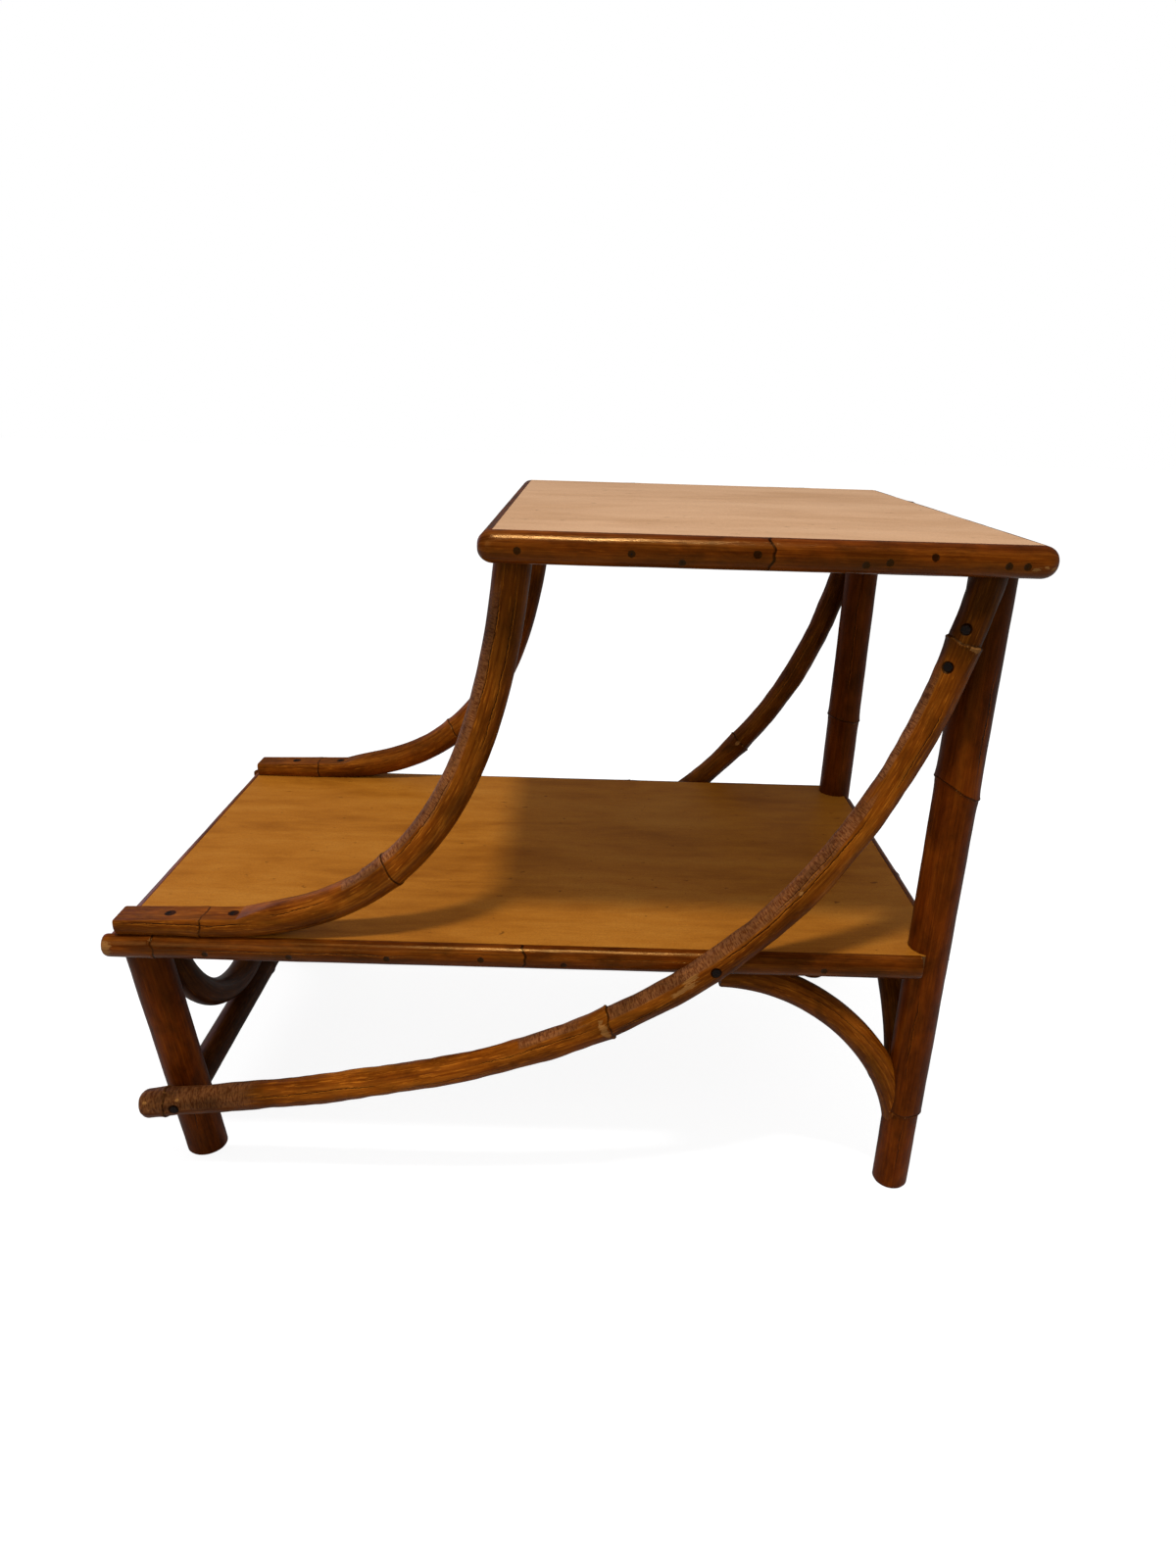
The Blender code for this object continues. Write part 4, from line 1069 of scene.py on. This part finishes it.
def brads(node, places):
    """The small nails of one front trim, and the dents that they sit in."""
    low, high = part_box(node)
    half = (high.z - low.z) / 2
    depth = high.y - low.y
    shape = bmesh.new()
    dents = []
    for along, above in places:
        up = (above - half) / half
        bulge = math.sqrt(1 - up ** 2)
        out = Vector((0, -bulge / depth, up / half)).normalized()
        place = Vector((low.x + along, high.y - depth * bulge, low.z + above))
        nail_head(shape, place - out * BRAD_SINK, out, bpy.context.scene.cane_sizes.brad_radius)
        dents.append((along, -math.asin(up), BRAD_PIT_DEPTH))
    piece_from(shape, node + "_brads", FINISHES["iron"])
    return tuple(dents)


def trim_ends(panel, side, part):
    """The kinds of a trim's two ends. part is left or right where the trim is in two lengths."""
    if side in ("left", "right"):
        return "sawn", "sawn"
    left, right = ("domed", "domed") if panel == "top" else ("round", "sawn")
    return "joint" if part == "right" else left, "joint" if part == "left" else right


class TABLE_OT_trims(bpy.types.Operator):
    """Make the split cane trims round both panels"""

    bl_idname = "cane_table.trims"
    bl_label = "Split cane trims"

    def execute(self, context):
        for seed, (node, (places, marks)) in enumerate(TRIMS.items(), start=21):
            if places:
                marks = marks | {"dents": brads(node, places)}
            panel, side, _, *part = node.split("_")
            start, end = (corner.copy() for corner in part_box(node))
            inner = end if side in ("front", "left") else start
            axis = 0 if side in ("left", "right") else 1
            start[axis] = end[axis] = inner[axis]
            start.z = end.z = (start.z + end.z) / 2
            split_cane(node, start, end, Vector(OUTWARD[side]),
                       trim_ends(panel, side, *(part or [""])), marks, seed)
        return {"FINISHED"}


class TABLE_OT_tall_legs(bpy.types.Operator):
    """Make the two tall right legs"""

    bl_idname = "cane_table.tall_legs"
    bl_label = "Tall legs"

    def execute(self, context):
        for seed, (side, sign) in enumerate(SIDES, start=1):
            foot = (TALL_LEG_X, sign * TALL_LEG_Y, 0.0)
            head = (TALL_LEG_X, sign * TALL_LEG_Y, TOP_LOW.z - GAP)
            make_cane(side + "_tall_leg", "leg", Route(straight(foot, head)), TALL_LEG_DIAMETER,
                      FRONT_TALL_LEG if sign < 0 else REAR_TALL_LEG, seed=seed,
                      foot=(TALL_LEG_FOOT_HEIGHT, TALL_LEG_FOOT_DIAMETER), sides=64)
        return {"FINISHED"}


class TABLE_OT_short_legs(bpy.types.Operator):
    """Make the two leaning left legs"""

    bl_idname = "cane_table.short_legs"
    bl_label = "Short legs"

    def execute(self, context):
        for seed, (side, sign) in enumerate(SIDES, start=3):
            foot, head = leg_line(sign)
            past = (head - foot).normalized() * OVERRUN
            make_cane(side + "_short_leg", "leg", Route(straight(foot - past, head + past)),
                      SHORT_LEG_DIAMETER, FRONT_SHORT_LEG, low=0.0, high=SHELF_LOW.z - GAP,
                      seed=seed, sides=56)
        return {"FINISHED"}


def plane_rail(shape):
    """Plane a rail's seat, and the flat that its two nails go through."""
    for vert in shape.verts:
        along = vert.co.x - RAIL_LOW.x
        plane = SHELF_FACE_Z + RAIL_PLANED_HEIGHT
        plane += RAIL_PLANED_RISE * along / RAIL_PLANED_LENGTH
        if along > RAIL_PLANED_LENGTH:
            plane += RAIL_RUN_OUT_SLOPE * (along - RAIL_PLANED_LENGTH)
        if along < 2 * RAIL_PLANED_LENGTH:
            vert.co.z = lower_of(vert.co.z, plane, RAIL_EDGE_ROUNDING)
        vert.co.z = max(vert.co.z, SHELF_FACE_Z + GAP)


class TABLE_OT_step_rails(bpy.types.Operator):
    """Make the two rails that lie on the shelf and sweep up to the top"""

    bl_idname = "cane_table.step_rails"
    bl_label = "Step rails"

    def execute(self, context):
        for seed, (side, sign) in enumerate(SIDES, start=5):
            route = rail_route(sign)
            nails = [f"{side}_rail_{place}_nail" for place in ("outer", "inner")]
            marks = FRONT_RAIL if sign < 0 else REAR_RAIL
            make_cane(side + "_step_rail", "bent", route, RAIL_DIAMETER,
                      marks | {"dents": nail_dents(route, *nails)}, high=TOP_LOW.z - GAP,
                      planed=plane_rail, ends=("sawn", "hidden"), seed=seed, sides=84,
                      uneven=0.018)
        return {"FINISHED"}


class TABLE_OT_long_braces(bpy.types.Operator):
    """Make the two long bent braces"""

    bl_idname = "cane_table.long_braces"
    bl_label = "Long braces"

    def execute(self, context):
        for seed, (side, sign) in enumerate(SIDES, start=7):
            route = brace_route(sign)
            nails = [f"{side}_brace_{place}_nail" for place in ("foot", "shelf", "upper", "top")]
            marks = FRONT_BRACE if sign < 0 else REAR_BRACE
            make_cane(side + "_long_brace", "bent", route, BRACE_DIAMETER,
                      marks | {"dents": nail_dents(route, *nails)}, high=TOP_LOW.z - GAP,
                      ends=("round", "hidden"), seed=seed, sides=84, uneven=0.085)
        return {"FINISHED"}


class TABLE_OT_arches(bpy.types.Operator):
    """Make the arches below the shelf at the tall legs"""

    bl_idname = "cane_table.arches"
    bl_label = "Arches"

    def execute(self, context):
        legs = [(Vector((TALL_LEG_X, sign * TALL_LEG_Y, 0)), Vector((0, 0, 1)),
                 TALL_LEG_DIAMETER / 2 - GAP) for _, sign in SIDES]
        for seed, ((side, sign), leg) in enumerate(zip(SIDES, legs), start=9):
            make_cane(side + "_arch_brace", "bent", arch_route(sign), ARCH_DIAMETER, FRONT_ARCH,
                      name=side + "_arch", ends=("sawn", "hidden"), seed=seed, copes=(None, leg))
        make_cane("right_side_arch", "bent", side_arch_route(), SIDE_ARCH_DIAMETER, SIDE_ARCH,
                  ends=("hidden", "hidden"), across=(1, 0, 0), seed=11, copes=legs)
        return {"FINISHED"}


class TABLE_OT_left_end(bpy.types.Operator):
    """Make the stretcher between the short legs and the hoop that stands on it"""

    bl_idname = "cane_table.left_end"
    bl_label = "Stretcher and hoop"

    def execute(self, context):
        lines = [leg_line(sign) for _, sign in SIDES]
        legs = [(foot, (head - foot).normalized(), SHORT_LEG_DIAMETER / 2 - GAP)
                for foot, head in lines]
        ends = [leg_centre(sign, STRETCHER_HEIGHT) for _, sign in SIDES]
        make_cane("left_stretcher", "bent", Route(straight(*ends)), STRETCHER_DIAMETER, STRETCHER,
                  ends=("hidden", "hidden"), across=(1, 0, 0), seed=12, copes=legs)
        make_cane("left_hoop", "bent", hoop_route(), HOOP_DIAMETER, HOOP,
                  high=SHELF_LOW.z - GAP, across=(1, 0, 0), seed=13)
        return {"FINISHED"}


class TABLE_OT_nails(bpy.types.Operator):
    """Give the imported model's nails, pins and screws their finish"""

    bl_idname = "cane_table.nails"
    bl_label = "Nails"

    def execute(self, context):
        kinds = ("_nail", "_pin", "_screw")
        dress_nodes("iron", *(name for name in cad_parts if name.endswith(kinds)))
        return {"FINISHED"}


# The stage. Lamps: place, aim, size, power and colour. The camera's turns are in radians.
LAMPS = {
    "key": ((-0.03, -0.98, 2.75), (0, 0, 0.25), 0.26, 44, (1, 1, 1)),
    "front_fill": ((-1.4, -2.4, 1.5), (0, 0, 0.3), 1.6, 10, (1, 1, 1)),
    "rear_sheen": ((-1.9, 1.5, 0.9), (0, 0, 0.35), 1.3, 3.5, (0.90, 0.70, 1.0)),
}
CAMERA_PLACE = (0.0358, -0.8641, 0.6337)
CAMERA_YAW, CAMERA_PITCH, CAMERA_ROLL = 0.0043, 0.3691, -0.0300
CAMERA_LENS = 22.755
SENSOR = 36
FLOOR_HALF_WIDTH = 12.0
FLOOR_DROP = 0.0005
FLOOR_COLOUR = (0.32, 0.32, 0.32)
FLOOR_GLOW = 0.86
FLOOR_GLOW_MIRRORED = 0.043
WORLD_GLOW = 0.58
WORLD_GLOW_MIRRORED = 0.08


def background_glow(made, lighting, mirrored, seen):
    """A background's strength: as it lights, in gloss and glass, and as the camera sees it."""
    rays = made.node("ShaderNodeLightPath").outputs
    camera, gloss, glass = (Signal(made, rays[f"Is {kind} Ray"])
                            for kind in ("Camera", "Glossy", "Transmission"))
    level = (gloss | glass).span(0.0, 1.0, lighting, mirrored)
    return camera.span(0.0, 1.0, level, seen)


def lay_floor():
    """A pale floor that the camera sees as white but that still takes the table's shadow."""
    made = Nodes(bpy.data.materials.new("floor"))
    glow = background_glow(made, 0.0, FLOOR_GLOW_MIRRORED, FLOOR_GLOW)
    made.fill(made.shader, {
        "Base Color": FLOOR_COLOUR, "Roughness": 0.9, "Specular IOR Level": 0.1,
        "Emission Color": (1, 1, 1), "Emission Strength": glow})
    shape = bmesh.new()
    bmesh.ops.create_grid(shape, x_segments=1, y_segments=1, size=FLOOR_HALF_WIDTH)
    bmesh.ops.translate(shape, vec=(0, 0, -FLOOR_DROP), verts=shape.verts)
    linked("floor", mesh_from(shape, "floor", made.owner))


def hang_lamp(name, place, aim, size, power, colour):
    data = bpy.data.lights.new(name, "AREA")
    data.shape = "DISK"
    data.size = size
    data.energy = power
    data.color = colour
    lamp = linked(name, data)
    lamp.location = place
    lamp.rotation_euler = (Vector(aim) - Vector(place)).to_track_quat("-Z", "Y").to_euler()


def set_camera(scene):
    """The camera that was fitted to the photograph."""
    data = bpy.data.cameras.new("camera")
    data.lens = CAMERA_LENS
    data.sensor_width = data.sensor_height = SENSOR
    data.sensor_fit = "VERTICAL"
    data.clip_start = 0.01
    scene.camera = linked("camera", data)
    turn = Matrix.Rotation(-CAMERA_YAW, 4, "Z")
    turn @= Matrix.Rotation(math.pi / 2 - CAMERA_PITCH, 4, "X")
    turn @= Matrix.Rotation(-CAMERA_ROLL, 4, "Z")
    scene.camera.matrix_world = Matrix.Translation(CAMERA_PLACE) @ turn


class TABLE_OT_stage(bpy.types.Operator):
    """Add the floor, the lamps and the camera"""

    bl_idname = "cane_table.stage"
    bl_label = "Floor, lamps and camera"

    def execute(self, context):
        scene = context.scene
        lay_floor()
        scene.world = bpy.data.worlds.new("studio")
        made = Nodes(scene.world, "Background")
        glow = background_glow(made, WORLD_GLOW, WORLD_GLOW_MIRRORED, 1.0)
        made.fill(made.shader, {"Color": (1, 1, 1), "Strength": glow})
        for name, settings in LAMPS.items():
            hang_lamp(name, *settings)
        set_camera(scene)
        scene.view_settings.view_transform = "Standard"
        return {"FINISHED"}


OPERATORS = (TABLE_OT_panels, TABLE_OT_trims, TABLE_OT_tall_legs, TABLE_OT_short_legs,
             TABLE_OT_step_rails, TABLE_OT_long_braces, TABLE_OT_arches, TABLE_OT_left_end,
             TABLE_OT_nails, TABLE_OT_stage)


class TABLE_PT_sidebar(bpy.types.Panel):
    """Lists the table's pieces and colours"""

    bl_idname = "TABLE_PT_sidebar"
    bl_label = "Cane Table"
    bl_space_type = "VIEW_3D"
    bl_region_type = "UI"
    bl_category = "Cane Table"

    def draw(self, context):
        layout = self.layout
        for operator in OPERATORS:
            layout.operator(operator.bl_idname)
        for group in (context.scene.cane_sizes, context.scene.cane_colours):
            for name in group.bl_rna.properties.keys():
                if name not in ("rna_type", "name"):
                    layout.prop(group, name)


CLASSES = (CaneColours, CaneSizes, *OPERATORS, TABLE_PT_sidebar)


def register():
    for item in CLASSES:
        bpy.utils.register_class(item)
    bpy.types.Scene.cane_colours = bpy.props.PointerProperty(type=CaneColours)
    bpy.types.Scene.cane_sizes = bpy.props.PointerProperty(type=CaneSizes)


def unregister():
    del bpy.types.Scene.cane_sizes
    del bpy.types.Scene.cane_colours
    for item in reversed(CLASSES):
        bpy.utils.unregister_class(item)


def main():
    register()
    make_finishes(bpy.context.scene.cane_colours)
    for operator in OPERATORS:
        group, name = operator.bl_idname.split(".")
        getattr(getattr(bpy.ops, group), name)()


if __name__ == "__main__":
    main()
